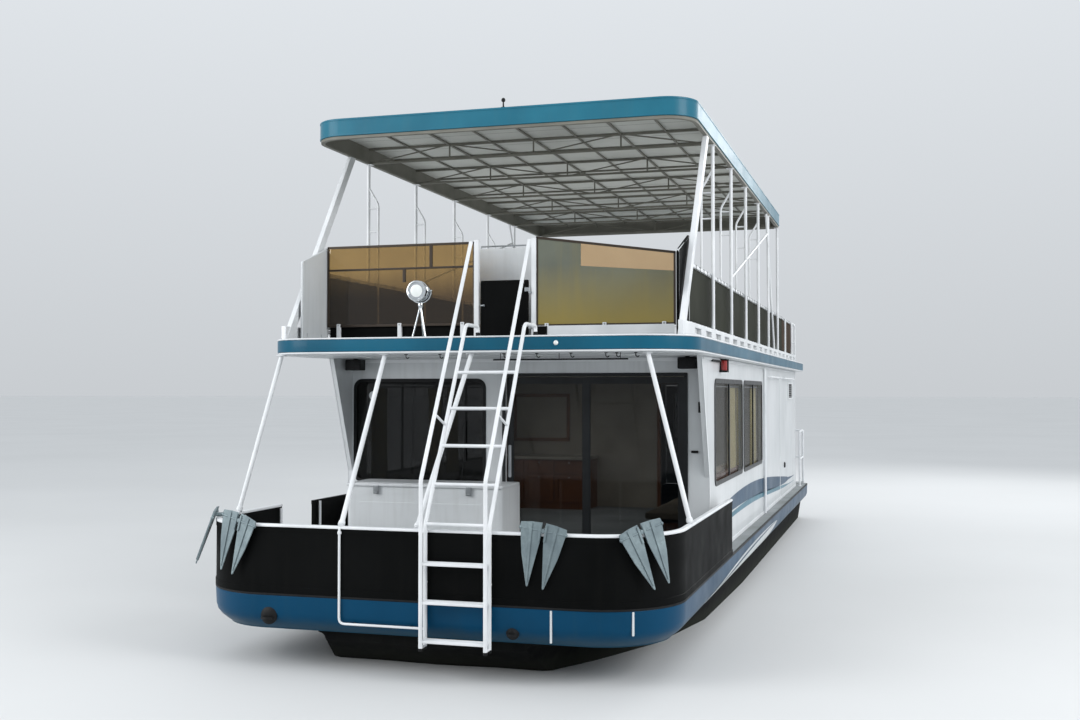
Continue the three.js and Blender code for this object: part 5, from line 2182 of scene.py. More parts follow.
@dataclass
class Screens:
    """The acrylic windscreens, the wings beside them and the gate between them."""

    face: float = -5.1
    thick: float = 0.012
    gate_hinges: Flat = (2.98, 3.33)
    rows: Sequence[tuple[str, float, float, float, float, float]] = (
        # name, inner and outer edge, foot, top at each edge
        ("stbd", -0.25, -1.87, 3.01, 3.84, 3.84),
        ("port", 0.39, 1.78, 2.985, 3.87, 3.68),
    )

    def build(self) -> None:
        """Builds the screens from starboard to port."""
        for row in self.rows:
            self.screen(*row)
        self.wings()
        self.gate()

    def bar(self, outline: Sequence[Flat]) -> Piece:
        """A flat bar over both faces of a pane."""
        return plate(outline, Axis.Y, self.face - 0.004, self.face + self.thick + 0.004, 0.003)

    def screen(
        self, name: str, inner: float, outer: float, low: float, top: float, top_outer: float
    ) -> None:
        """One screen: its panes in their edging, on short stanchions.

        Args:
            name: the side's name.
            inner: where the inner edge stands.
            outer: where the outer edge stands.
            low: the height of the foot.
            top: the height of the top at the inner edge.
            top_outer: its height at the outer edge.
        """
        y0, y1 = self.face, self.face + self.thick
        way, edge = math.copysign(1, outer), 0.02
        slope = (top_outer - top) / (outer - inner)
        inside = (y0 + 0.002, y1 - 0.002, 0.001)
        bars = [
            self.bar([
                (inner, low - 0.004), (outer, low - 0.004), (outer, low + edge), (inner, low + edge)
            ]),
            self.bar([
                (inner, top - edge), (outer, top_outer - edge), (outer, top_outer + 0.004),
                (inner, top + 0.004),
            ]),
        ]
        for x in (inner, outer - way * edge):
            first, second = top + slope * (x - inner), top + slope * (x + way * edge - inner)
            bars.append(self.bar([
                (x, low), (x + way * edge, low), (x + way * edge, second), (x, first)
            ]))
        if name == "stbd":
            upper = [(inner, 3.596), (outer, 3.596), (outer, top_outer), (inner, top)]
            lower = [(inner, low), (outer, low), (outer, 3.596), (inner, 3.596)]
            panes = [("stbd", upper, BRONZE_ACRYLIC), ("stbd_low", lower, SMOKED_ACRYLIC)]
            bars += [
                self.bar(rounded_rect(-1.85, -0.27, 3.586, 3.606, 0.003, 2)),
                self.bar(rounded_rect(-0.735, -0.703, 3.600, 3.825, 0.003, 2)),
                self.bar(rounded_rect(-1.027, -0.995, 3.457, 3.590, 0.003, 2)),
            ]
        else:
            split, strip = 0.846, (3.569, 3.495)
            notch = [(inner, low), (outer, low), (outer, strip[1]), (split, strip[0])]
            notch += [(split, top + slope * (split - inner)), (inner, top)]
            clear = [(split, strip[0]), (outer, strip[1]), (outer, top_outer), (split, notch[4][1])]
            # The port pane's grey and yellow are painted light and shade of what stands behind it.
            panes = [("port", notch, SHADE_PAINTED_ACRYLIC), ("port_strip", clear, PALE_BRONZE)]
        for label, outline, finish in panes:
            pane = plate(outline, Axis.Y, *inside)
            hand_over(f"screen_pane_{label}", [pane], finish, node=f"windscreen_{name}", crease=10)
        hand_over(f"screen_frame_{name}", bars, BROWN_FRAME)
        deck, posts, metal = UPPER_SEAT, [], []
        for share in (0.08, 0.5, 0.92):
            x = inner + (outer - inner) * share
            posts += [
                block((x - 0.020, y0 - 0.012, deck), (x + 0.020, y1 + 0.012, low + 0.03), 0.004),
                block((x - 0.04, y0 - 0.03, deck), (x + 0.04, y1 + 0.03, deck + 0.0065), 0.002),
            ]
            metal.append(bolt((x, y0 - 0.012, low + 0.015), AHEAD, 0.006))
        gate_x = inner - way * 0.02
        posts.append(block(
            (gate_x - 0.0248, y0 - 0.015, deck), (gate_x + 0.0248, y0 + 0.035, 3.86), 0.006
        ))
        if name == "port":
            posts.append(block(
                (inner + 0.01, y0 - 0.019, deck), (outer - 0.01, y0 - 0.0125, low + 0.004), 0.002
            ))
            metal += [
                block((0.3225, -5.1312, z - 0.02), (0.350, -5.110, z - 0.0006), 0.002)
                for z in self.gate_hinges
            ]
        else:
            board = block(
                (-1.85, y1 + 0.0125, deck + 0.007), (-0.27, y1 + 0.019, low - 0.002), 0.002
            )
            pad = block((0.37, y0 - 0.026, deck + 0.001), (0.51, y0 - 0.0195, 2.985), 0.002)
            hand_over("screen_kick_boards", [board, pad], BLACK_PANEL)
        hand_over(f"screen_posts_{name}", posts, WHITE_TUBE)
        hand_over(f"screen_metal_{name}", metal, STAINLESS)

    def wings(self) -> None:
        """The solid white wings that close the sides of the front of the upper deck."""
        low = UPPER_TOP + 0.0006
        for name, side in SIDES.items():
            shape = [(-5.62, low), (-5.06, low), (-5.06, 3.83), (-5.62, 3.64)]
            parts = [plate(shape, Axis.X, side * 1.8802, side * 1.9048, 0.004)]
            x = side * 1.8925
            edging = tube([[(x, -5.612, low), (x, -5.612, 3.63), (x, -5.066, 3.822)]], 0.0135, 0.03)
            inset = [(-5.6, low + 0.01), (-5.08, low + 0.01), (-5.08, 3.81), (-5.6, 3.63)]
            cover = [plate(inset, Axis.X, side * 1.9046, side * 1.9066, 0.0006)]
            (cover if side > 0 else parts).append(edging)
            hand_over(f"wing_cover_{name}", cover, BLACK_PANEL)
            for y in (-5.5, -5.2):
                parts.append(block(
                    (side * 1.866, y - 0.03, low), (side * 1.8802, y + 0.03, low + 0.08), 0.003
                ))
            hand_over(f"wing_panel_{name}", parts, WHITE_GELCOAT, node=f"screen_wing_{name}")

    def gate(self) -> None:
        """The black gate in the middle, on two hinges."""
        panel = plate(rounded_rect(-0.19, 0.31, 2.9, 3.45, 0.012), Axis.Y, -5.0918, -5.0742, 0.003)
        rim_out = rounded_rect(-0.188, 0.308, 2.902, 3.448, 0.012)
        rim_in = rounded_rect(-0.165, 0.285, 2.925, 3.425, 0.008)
        rim = rounded(hoop(rim_out, rim_in, Axis.Y, -5.0945, -5.0915), 0.001)
        hand_over(
            "upper_gate_leaf", [panel, rim], BLACK_PANEL, body="upper_gate", node="upper_gate"
        )
        metal = []
        for z in self.gate_hinges:
            metal += [
                turned([(0.0003, 0.007), (0.04, 0.007)], (0.33, -5.123, z), around=16),
                block((0.282, -5.1278, z + 0.0005), (0.33, -5.1184, z + 0.0395), 0.002),
                block((0.281, -5.1275, z + 0.0005), (0.29, -5.0925, z + 0.0395), 0.002),
            ]
        metal += [
            turned(
                [(0, 0.012), (0.006, 0.012), (0.008, 0.007), (0.02, 0.007)], (-0.155, -5.0945, 3.2),
                AHEAD, 16,
            ),
            block((-0.185, -5.118, 3.193), (-0.150, -5.112, 3.207), 0.002),
        ]
        hand_over("upper_gate_metal", metal, STAINLESS, body="upper_gate")


@dataclass
class FlyConsole:
    """The second helm on the upper deck: a white pedestal with a dark instrument face."""

    left: float = -0.37
    right: float = 0.25

    def build(self) -> None:
        """Builds the pedestal, its face and its grab bar."""
        low = UPPER_SEAT
        side = [(-4.76, low), (-4.38, low), (-4.48, 3.65), (-4.70, 3.81), (-4.76, 3.81)]
        parts = [plate(side, Axis.X, self.left, self.right, 0.014)]
        panel = rounded_rect(self.left + 0.07, self.right - 0.07, 2.98, 3.42, 0.03)
        parts.append(plate(panel, Axis.Y, -4.764, -4.757, 0.002))
        hand_over("fly_pedestal", parts, WHITE_GELCOAT, slot="locker_shell", node="fly_console")
        slope = Vector((0, 0.16, 0.22)).normalized()
        dark = []
        for k in range(4):
            at = Vector((self.left + 0.11 + 0.133 * k, -4.585, 3.7275))
            dark.append(turned(
                [(-0.008, 0.045), (0.004, 0.045), (0.010, 0.039)], tuple(at), tuple(slope)
            ))
        for k in range(5):
            at = Vector((self.left + 0.12 + 0.095 * k, -4.515, 3.6765))
            dark.append(turned(
                [(-0.006, 0.011), (0.004, 0.011), (0.012, 0.006)], tuple(at), tuple(slope), 12
            ))
        hand_over("fly_dials", dark, BLACK_MOULDED, slot="door_frame")
        bar = [
            (self.left + 0.06, -4.73, 3.805), (self.left + 0.06, -4.73, 3.835),
            (self.right - 0.06, -4.73, 3.835), (self.right - 0.06, -4.73, 3.805),
        ]
        hand_over("fly_grab_bar", [tube([bar], 0.008, 0.02)], STAINLESS)


@dataclass
class SideFrames:
    """On each side, the canopy's uprights welded to the rails and the pierced toe rail."""

    x: float = 1.957
    inner_x: float = 1.837
    rail_x: float = 1.905
    low: float = UPPER_SEAT
    high: float = 4.9196
    rail_low: float = 3.0
    rail_high: float = 3.56
    rail_front: float = -5.05
    rail_back: float = 5.85
    uprights: Sequence[float] = FRAME_STATIONS
    aft_posts: Sequence[float] = AFT_STATIONS
    rail_posts: Sequence[float] = (4.1, 5.3)
    eyelets: float = 0.24

    def build(self) -> None:
        """Builds the port frame and its mirror image, then the cloth on each."""
        port = self.frame()
        stbd = mirrored(port)
        for name, made in (("port", port), ("stbd", stbd)):
            hand_over(f"side_frame_tubes_{name}", [made], WHITE_TUBE, node=f"side_frame_{name}")
        for name, side in SIDES.items():
            self.cloth(name, side)

    def toe_rail(self) -> list[Piece]:
        """The toe rail: two flanges joined by webs, with long holes between the webs.

        Returns:
            The shapes.
        """
        x0, x1, front, back, top = 1.938, 1.986, -5.86, self.rail_back, 2.985
        parts = [
            block((x0, front, self.low), (x1, back, 2.890), 0.004),
            block((x0, front, 2.945), (x1, back, top), 0.004),
        ]
        pitch, hole, first, count = 0.66, 0.37, -5.22, 17
        start = front
        for k in range(count + 1):
            end = first + pitch * k if k < count else back
            parts.append(block((x0 + 0.001, start, 2.888), (x1 - 0.001, end, 2.947), 0.003))
            start = end + hole
        return parts

    def frame(self) -> Piece:
        """Everything that is welded together on the port side.

        Returns:
            The frame as one shape.
        """
        x, xi, xr = self.x, self.inner_x, self.rail_x
        mains = [[(x, y, self.low), (x, y, self.high)] for y in (*self.uprights, *self.aft_posts)]
        slim = [[(xi, y, self.low), (xi, y, 4.46), (x, y, 4.66)] for y in self.uprights]
        ties = [[(x, y, z), (xi, y, z)] for y in self.uprights for z in (4.15, 4.42)]
        arms = [
            [(xr, y, z), (x, y, z)]
            for y in (*self.uprights, *self.aft_posts, *self.rail_posts)
            for z in (self.rail_low, self.rail_high)
        ]
        low_posts = [[(x, y, self.low), (x, y, self.rail_high)] for y in self.rail_posts]
        parts = [
            tube(mains, 0.0195, around=14), tube(slim, 0.013, 0.14), tube(ties, 0.0095, around=10),
            tube(arms, 0.009, around=10), tube(low_posts, 0.018),
            tube([[(x, -2.5, 3.65), (x, 1.4, 4.64)]], 0.0138),
            tube([[(x, 2.3686, self.low), (x, 1.2477, self.high)]], RAIL_LOOP_RADIUS),
        ]
        parts += [
            block(
                (xr - 0.015, self.rail_front, self.rail_high - 0.015),
                (xr + 0.015, self.rail_back, self.rail_high + 0.015), 0.004,
            ),
            block(
                (xr - 0.011, self.rail_front, self.rail_low - 0.011),
                (xr + 0.011, self.rail_back, self.rail_low + 0.011), 0.003,
            ),
        ]
        rake = [
            (-5.8603, self.low), (-5.7383, self.low), (-4.2897, self.high), (-4.4117, self.high)
        ]
        parts.append(plate(rake, Axis.X, 1.930, 1.980, 0.007))
        heads = [*self.uprights, *self.aft_posts]
        feet = [*heads, *self.rail_posts]
        parts += [
            block((x - 0.045, y - 0.045, 2.9848), (x + 0.03, y + 0.045, 2.9915), 0.002)
            for y in feet
        ]
        parts += [
            block((x - 0.05, y - 0.04, self.high - 0.006), (x + 0.028, y + 0.04, self.high), 0.002)
            for y in heads
        ]
        parts += [
            turned([(0, 0.03), (0.005, 0.03), (0.007, 0.026)], (xi, y, self.low))
            for y in self.uprights
        ]
        parts += self.toe_rail()
        return joined(parts)

    def cloth(self, name: str, side: int) -> None:
        """Shade cloth laced between the rails, in two lengths.

        Args:
            name: the side's name.
            side: 1 for port and -1 for starboard.
        """
        low, high = self.rail_low + 0.0125, self.rail_high - 0.0165
        posts = [
            self.rail_front + 0.02, *self.uprights, *self.aft_posts, *self.rail_posts,
            self.rail_back - 0.02,
        ]
        for label, start, end, finish in (
            ("fore", self.rail_front + 0.02, 4.06, SHADE_CLOTH),
            ("aft", 4.062, self.rail_back - 0.02, BROWN_CLOTH),
        ):
            steps, tall = int((end - start) / 0.06), 10
            rows = []
            for j in range(tall + 1):
                v = j / tall
                line = []
                for k in range(steps + 1):
                    y = start + (end - start) * k / steps
                    near = min(abs(y - p) for p in posts)
                    slack = 0.006 * math.sin(math.pi * v) * min(
                        1.0, near / 0.5
                    ) * math.sin(2.3 * y + 4 * v)
                    scallop = 0.006 * (2 * abs(v - 0.5)) ** 3 * abs(math.sin(
                        math.pi * (y - start) / self.eyelets
                    ))
                    z = low + (high - low) * v
                    line.append((
                        side * (self.rail_x + slack), y, z - math.copysign(scallop, v - 0.5)
                    ))
                rows.append(line)
            sheet = thickened(skin(rows, closed=False), CLOTH_THICKNESS)
            made = hand_over(
                f"rail_cloth_{label}_{name}", [sheet], finish, node=f"rail_cloth_{name}", crease=60
            )
        self.lacing(name, side, low, high)

    def lacing(self, name: str, side: int, low: float, high: float) -> None:
        """Short ties round the rails, one through each eyelet of the cloth.

        Args:
            name: the side's name.
            side: 1 for port and -1 for starboard.
            low: the height of the cloth's lower edge.
            high: the height of its upper edge.
        """
        ties, x = [], side * self.rail_x
        count = int((self.rail_back - self.rail_front - 0.1) / self.eyelets)
        for k in range(count + 1):
            y = self.rail_front + 0.05 + self.eyelets * k
            for z, rail, half in (
                (high - 0.012, self.rail_high, 0.018), (low + 0.012, self.rail_low, 0.014)
            ):
                over = rail + math.copysign(half, rail - z)
                ties.append([
                    (x - half, y, z), (x - half, y, over), (x + half, y, over), (x + half, y, z),
                    (x - half, y, z),
                ])
        hand_over(f"cloth_ties_{name}", [tube(ties, 0.0022, 0.004, 6)], BLACK_MOULDED)


@dataclass
class UpperSternRail:
    """The rail across the after end of the upper deck, open where the ladder comes up."""

    y: float = 5.935
    top: float = 3.56

    def build(self) -> None:
        """Builds the rails, their posts and the base bar."""
        low = UPPER_SEAT
        bars, feet = [], []
        for start, end in ((-1.96, -1.4), (-0.56, 1.96)):
            posts = max(1, round((end - start) / 0.7))
            across = [start + (end - start) * k / posts for k in range(posts + 1)]
            bars.append([
                (across[0], self.y, low), (across[0], self.y, self.top),
                (across[-1], self.y, self.top), (across[-1], self.y, low),
            ])
            bars += [[(x, self.y, low), (x, self.y, self.top)] for x in across[1:-1]]
            bars.append([(across[0], self.y, 3.22), (across[-1], self.y, 3.22)])
            feet += [
                turned([(0, 0.034), (0.005, 0.034), (0.007, 0.03)], (x, self.y, low + 0.06))
                for x in across
            ]
        parts = [
            tube(bars, RAIL_LOOP_RADIUS, 0.06),
            block((-1.96, self.y - 0.012, low), (1.96, self.y + 0.012, low + 0.06), 0.004),
        ]
        hand_over("upper_stern_tubes", [*parts, *feet], WHITE_TUBE, node="upper_stern_rail")


# The canopy


@dataclass
class Canopy:
    """The flat canopy: a welded frame, a teal fascia and a sheet roof."""

    frame_low: float = 4.92
    fascia_low: float = 4.95
    chord: float = 5.105
    top: float = 5.13
    stations: Sequence[float] = (*FRAME_STATIONS, *AFT_STATIONS)
    bars_x: Sequence[float] = (-0.976, 0.0, 0.976)

    def build(self) -> None:
        """Builds the canopy from its frame up."""
        self.fascia()
        self.roof()
        self.frame()
        self.antenna()

    def fascia(self) -> None:
        """The painted fascia, with a drip bead along its lower edge."""
        z0, z1 = self.fascia_low, self.top
        section = [
            (-0.0358, z0 + 0.0002), (-0.006, z0 + 0.0002), (-0.001, z0 + 0.004),
            (-0.001, z0 + 0.016), (-0.004, z0 + 0.02), (-0.004, z1 - 0.022), (0.0, z1 - 0.018),
            (0.0, z1 - 0.006), (-0.006, z1), (-0.0358, z1),
        ]
        ring = run_along(CANOPY_PLAN.outline(0.0, 14), section)
        hand_over("canopy_fascia_band", [ring], TEAL_PAINT, node="canopy_fascia", crease=40)
        liner = [
            (-0.0385, z0 + 0.001), (-0.0361, z0 + 0.001), (-0.0361, self.chord),
            (-0.0385, self.chord),
        ]
        lining = run_along(CANOPY_PLAN.outline(0.0, 14), liner)
        hand_over("canopy_fascia_liner", [lining], TAUPE_PAINT)

    def roof(self) -> None:
        """The roof of laid sheets, seamed across the boat."""
        deck = plate(CANOPY_PLAN.outline(0.0364, 10), Axis.Z, self.chord + 0.0008, 5.12)
        parts = [deck]
        y = CANOPY_PLAN.front + 0.65
        while y < CANOPY_PLAN.back - 0.2:
            parts.append(block((-1.95, y, 5.1195), (1.95, y + 0.025, 5.128), 0.003))
            y += 0.61
        hand_over("canopy_roof_sheets", parts, ROOF_SHEET, node="canopy_roof")

    def frame(self) -> None:
        """The ring under the fascia, six trusses across and three bars along."""
        ring = [
            (-0.056, self.frame_low), (-0.012, self.frame_low), (-0.012, self.fascia_low - 0.0003),
            (-0.056, self.fascia_low - 0.0003),
        ]
        parts = [rounded(run_along(CANOPY_PLAN.outline(0.0, 8), ring), 0.003)]
        half, low, high = 1.952, self.frame_low, self.chord
        for y in self.stations:
            parts += [
                block((-half, y - 0.013, high - 0.028), (half, y + 0.013, high), 0.005),
                block((-half, y - 0.013, low + 0.001), (half, y + 0.013, low + 0.026), 0.005),
            ]
            webs = [[(x, y, low + 0.006), (x, y, high - 0.006)] for x in self.bars_x]
            braces = [
                [(a, y, low + 0.013), (b, y, high - 0.013)]
                for a, b in ((-1.93, -1.0), (-0.02, -0.95), (0.02, 0.95), (1.93, 1.0))
            ]
            parts += [tube(webs, 0.0095, around=8), tube(braces, 0.008, around=8)]
        front, back = CANOPY_PLAN.front + 0.04, CANOPY_PLAN.back - 0.04
        for x in self.bars_x:
            parts.append(block(
                (x - 0.012, front, high - 0.024), (x + 0.012, back, high - 0.003), 0.004
            ))
        hand_over("canopy_frame_bars", parts, TAUPE_PAINT, node="canopy_frame")
        between = [(a + b) / 2 for a, b in zip((CANOPY_PLAN.front, *self.stations), self.stations)]
        purlins = [
            block((-1.94, y - 0.011, high - 0.021), (1.94, y + 0.011, high - 0.001), 0.004)
            for y in between
        ]
        purlins += [
            block((x - 0.011, front, high - 0.020), (x + 0.011, back, high - 0.002), 0.004)
            for x in (-1.464, -0.488, 0.488, 1.464)
        ]
        hand_over("canopy_purlins", purlins, TAUPE_PAINT)

    def antenna(self) -> None:
        """A small masthead lamp on a stem at the front of the roof."""
        x, y = 0.107, -5.27
        parts = [
            turned(
                [
                    (0, 0.022), (0.006, 0.022), (0.01, 0.008), (0.058, 0.007), (0.06, 0.016),
                    (0.075, 0.021), (0.09, 0.016), (0.098, 0.005),
                ],
                (x, y, self.top - 0.0005),
            )
        ]
        hand_over("canopy_top_lamp", parts, BLACK_MOULDED)


@dataclass
class Searchlight:
    """The chromed searchlight on its tripod at the front of the upper deck."""

    x: float = -0.48
    y: float = -5.96
    z: float = 3.28

    def build(self) -> None:
        """Builds the bowl, bezel, lens, yoke and legs."""
        low = UPPER_SEAT
        bowl = [
            (-0.098, 0.008), (-0.092, 0.035), (-0.075, 0.064), (-0.045, 0.088), (0.0, 0.0985),
            (0.06, 0.0985), (0.066, 0.094), (0.1, 0.094), (0.104, 0.09), (0.104, 0.078),
        ]
        at = (self.x, self.y, self.z)
        shell = turned(bowl, at, AHEAD, 32)
        bezel = turned(
            [(0.092, 0.0955), (0.108, 0.0955), (0.110, 0.092), (0.110, 0.080), (0.106, 0.078)], at,
            AHEAD, 32,
        )
        arch = [
            (self.x + 0.106 * math.cos(t), self.y, self.z + 0.106 * math.sin(t))
            for t in [math.pi * (1 + k / 12) for k in range(13)]
        ]
        yoke = tube([arch], 0.007, 0.01, 10)
        knobs = [
            turned(
                [(0, 0.016), (0.012, 0.016), (0.016, 0.01)], (self.x + s * 0.1, self.y, self.z),
                (s, 0, 0), 14,
            )
            for s in (1, -1)
        ]
        hub = turned([(0, 0.02), (0.03, 0.026), (0.05, 0.02)], (self.x, self.y, self.z - 0.155))
        legs, feet = [], []
        for degrees in (90, 210, 330):
            t = math.radians(degrees)
            foot = (self.x + 0.075 * math.cos(t), self.y + 0.075 * math.sin(t), low)
            legs.append([(self.x, self.y, self.z - 0.125), foot])
            feet.append(turned([(0, 0.016), (0.005, 0.016), (0.008, 0.012)], foot, around=12))
        parts = [shell, bezel, yoke, *knobs, hub, tube(legs, 0.0085), *feet]
        hand_over("searchlight_body", parts, CHROME, node="searchlight")
        lens = turned(
            [(0.098, 0.0785), (0.104, 0.072), (0.108, 0.045), (0.109, 0.012)], at, AHEAD, 32
        )
        hand_over("searchlight_lens", [lens], LAMP_LENS)


# The stern


@dataclass
class Stern:
    """The rail and the ladder on the after deck, and the engines' pod."""

    ladder_x: Flat = (-1.2, -0.76)

    def build(self) -> None:
        """Builds the rail, the ladder and the pod."""
        self.rail()
        self.ladder()
        self.pod()

    def rail(self) -> None:
        """The after rail with its gate gap in the middle."""
        low, middle, high = DECK_SEAT, 1.13, 1.62
        y, side_end = 6.545, 5.78
        bars, posts, feet = [], [], []
        for side in (-1, 1):
            outer, inner = side * 2.05, side * 0.48
            bars += [
                [
                    (inner, y, low), (inner, y, high), (outer, y, high), (outer, side_end, high),
                    (outer, side_end, low),
                ],
                [(inner, y, middle), (outer, y, middle), (outer, side_end, middle)],
            ]
            posts += [[(x, y, low), (x, y, high)] for x in (side * 1.25, outer)]
            for x, at in ((inner, y), (side * 1.25, y), (outer, y), (outer, side_end)):
                feet.append(turned(
                    [(0, 0.032), (0.005, 0.032), (0.008, 0.027)],
                    (x, at, low if at != y else low + 0.0302),
                ))
        base = block((-2.05, y - 0.014, low), (2.05, y + 0.014, low + 0.03), 0.004)
        parts = [tube(bars, RAIL_LOOP_RADIUS, 0.07), tube(posts, RAIL_LOOP_RADIUS), base, *feet]
        hand_over("stern_rail_tubes", parts, WHITE_TUBE, node="stern_rail")

    def ladder(self) -> None:
        """The ladder from the after deck to the upper deck."""
        low, lean = DECK_SEAT, self.lean
        bars, rungs, feet, grips = [], [], [], []
        left, right = self.ladder_x
        for x in self.ladder_x:
            bars.append([(x, lean(low), low), (x, lean(3.45), 3.455), (x, 5.96, 3.455)])
            feet += [
                turned([(0, 0.034), (0.005, 0.034), (0.008, 0.03)], (x, lean(low), low)),
                block((x - 0.012, 6.0245, 2.765), (x + 0.012, lean(2.78), 2.795), 0.003),
            ]
        for z in [0.93 + 0.28 * k for k in range(8)]:
            y = lean(z)
            rungs.append([(left, y, z), (right, y, z)])
            grips.append(block(
                (-1.17, y - 0.008, z + 0.0125), (-0.79, y + 0.008, z + 0.0165), 0.0015
            ))
        parts = [tube(bars, 0.0188, 0.07, 14), tube(rungs, 0.014), *feet]
        hand_over("stern_ladder_tubes", parts, WHITE_TUBE, node="stern_ladder")
        hand_over("stern_ladder_grips", grips, BLACK_MOULDED)

    def lean(self, z: float) -> float:
        """Where the ladder's rails stand at a height."""
        return 6.42 - (z - 0.4) / 3.1 * 0.38

    def pod(self) -> None:
        """The beam that carries the engines, its boxes, cheeks and braces."""
        front, back = 6.6004, 7.25
        parts = [block((-0.9, front, -0.06), (0.9, back, 0.06), 0.012)]
        brace = [(front, -0.055), (front, -0.3), (6.64, -0.3), (7.15, -0.055)]
        parts += [plate(brace, Axis.X, x - 0.03, x + 0.03, 0.005) for x in (-0.76, 0.0, 0.76)]
        metal = []
        for side in (1, -1):
            x = side * ENGINE_X
            parts.append(block((x - 0.15, 6.9, -0.18), (x + 0.15, back, 0.15), 0.014))
            for cheek in (-1, 1):
                at = x + cheek * 0.11
                shape = rounded_rect(7.24, 7.362, 0.13, 0.232, 0.028)
                parts.append(plate(shape, Axis.X, at - 0.0138, at + 0.0138, 0.003))
                metal.append(turned(
                    [(0, 0.02), (0.006, 0.02), (0.008, 0.012), (0.016, 0.012)],
                    (at + cheek * 0.0138, 7.33, 0.2), (cheek, 0, 0), 6,
                ))
            metal += [
                bolt((x + dx, 7.25, z), ABAFT, 0.011)
                for dx in (-0.125, 0.125)
                for z in (-0.14, -0.02, 0.10)
            ]
        hand_over("engine_pod_box", parts, POD_ENAMEL, node="engine_pod")
        hand_over("engine_pod_bolts", metal, STAINLESS)


@dataclass
class Outboard:
    """One outboard engine: swivel, leg, cover and propeller, the leg and cover on one body and the
    others on their own.
    """

    name: str
    side: int
    pivot: Flat = (7.33, 0.2)
    steer: float = 7.43
    prop: Flat = (7.712, -0.65)

    def build(self) -> None:
        """Builds the engine from its clamp to its propeller."""
        self.x = self.side * ENGINE_X
        self.swivel()
        self.leg()
        self.cover()
        self.propeller()

    def swivel(self) -> None:
        """The bracket that tilts: a tube through the cheeks, a block and two tongues."""
        x, (y, z) = self.x, self.pivot
        parts = [
            turned([(-0.0955, 0.0218), (0.0955, 0.0218)], (x, y, z), (1, 0, 0)),
            block((x - 0.055, y - 0.004, -0.12), (x + 0.055, y + 0.062, 0.236), 0.008),
        ]
        for low, high in ((0.2062, 0.236), (-0.12, -0.0902)):
            parts += [
                block((x - 0.038, y + 0.04, low), (x + 0.038, self.steer, high), 0.004),
                turned([(low, 0.0378), (high, 0.0378)], (x, self.steer, 0.0)),
            ]
        parts += [
            bolt((x + dx, y + 0.062, dz), ABAFT, 0.007)
            for dx in (-0.038, 0.038)
            for dz in (-0.06, 0.05, 0.17)
        ]
        ram = tube([[(x, y + 0.068, -0.08), (x, y + 0.064, 0.12)]], 0.011)
        hand_over(
            f"swivel_bracket_{self.name}", [*parts, ram], ENGINE_ENAMEL, body=f"tilt_{self.name}",
            node=f"engine_swivel_{self.name}",
        )

    def leg(self) -> None:
        """The leg: barrel, midsection, two plates, gearcase, skeg and their details."""
        x, s = self.x, self.steer
        levels = [
            # height, front, back, half width
            (0.3298, 0.052, 0.300, 0.048), (0.26, 0.052, 0.285, 0.047), (0.10, 0.052, 0.255, 0.044),
            (-0.2, 0.052, 0.21, 0.040), (-0.38, 0.063, 0.222, 0.036), (-0.56, 0.075, 0.238, 0.034),
            (-0.64, 0.068, 0.246, 0.040), (-0.7, 0.062, 0.249, 0.046),
        ]
        rings = [
            [
                (a, b, z)
                for a, b in rounded_rect(x - half, x + half, s + front, s + back, half * 0.92, 6)
            ]
            for z, front, back, half in reversed(levels)
        ]
        parts = [skin(rings)]
        parts += [
            turned([(-0.0896, 0.0338), (0.2056, 0.0338)], (x, s, 0.0)),
            block((x - 0.02, s, -0.06), (x + 0.02, s + 0.08, 0.18), 0.006),
        ]
        wide = [
            (x - 0.03, s + 0.046), (x + 0.03, s + 0.046), (x + 0.09, s + 0.10),
            (x + 0.104, s + 0.30), (x + 0.085, s + 0.379), (x - 0.085, s + 0.379),
            (x - 0.104, s + 0.30), (x - 0.09, s + 0.10),
        ]
        parts.append(plate(wide, Axis.Z, -0.46, -0.45, 0.003))
        low_plate = [
            (x - 0.02, s + 0.08), (x + 0.02, s + 0.08), (x + 0.062, s + 0.15),
            (x + 0.066, s + 0.26), (x - 0.066, s + 0.26), (x - 0.062, s + 0.15),
        ]
        parts.append(plate(low_plate, Axis.Z, -0.525, -0.517, 0.002))
        case = [
            (-0.052, 0.006), (-0.045, 0.022), (-0.03, 0.037), (0.0, 0.049), (0.05, 0.052),
            (0.16, 0.052), (0.23, 0.048), (0.2712, 0.0425),
        ]
        parts.append(turned(case, (x, s + 0.01, self.prop[1]), ABAFT, 28))
        skeg = [
            (s + 0.09, -0.66), (s + 0.14, -0.862), (s + 0.155, -0.87), (s + 0.24, -0.87),
            (s + 0.25, -0.862), (s + 0.263, -0.66),
        ]
        parts.append(plate(skeg, Axis.X, x - 0.0068, x + 0.0068, 0.003))
        tab = [(s + 0.285, -0.462), (s + 0.36, -0.462), (s + 0.345, -0.505), (s + 0.30, -0.505)]
        parts.append(plate(tab, Axis.X, x - 0.005, x + 0.005, 0.002))
        hand_over(
            f"engine_leg_casting_{self.name}", parts, ENGINE_ENAMEL, body=f"engine_{self.name}",
            node=f"engine_leg_{self.name}", crease=30,
        )
        grilles = []
        for way in (-1, 1):
            for k in range(5):
                y = s + 0.115 + 0.016 * k
                grilles.append(block(
                    (x + way * 0.030, y, -0.60), (x + way * 0.0405, y + 0.007, -0.555), 0.001
                ))
            grilles += [
                bolt((x + way * 0.0395, s + y, z), (way, 0, 0), 0.006)
                for y, z in ((0.09, -0.15), (0.17, -0.15))
            ]
        hand_over(
            f"engine_leg_grilles_{self.name}", grilles, BLACK_MOULDED, slot="engine_paint",
            body=f"engine_{self.name}",
        )

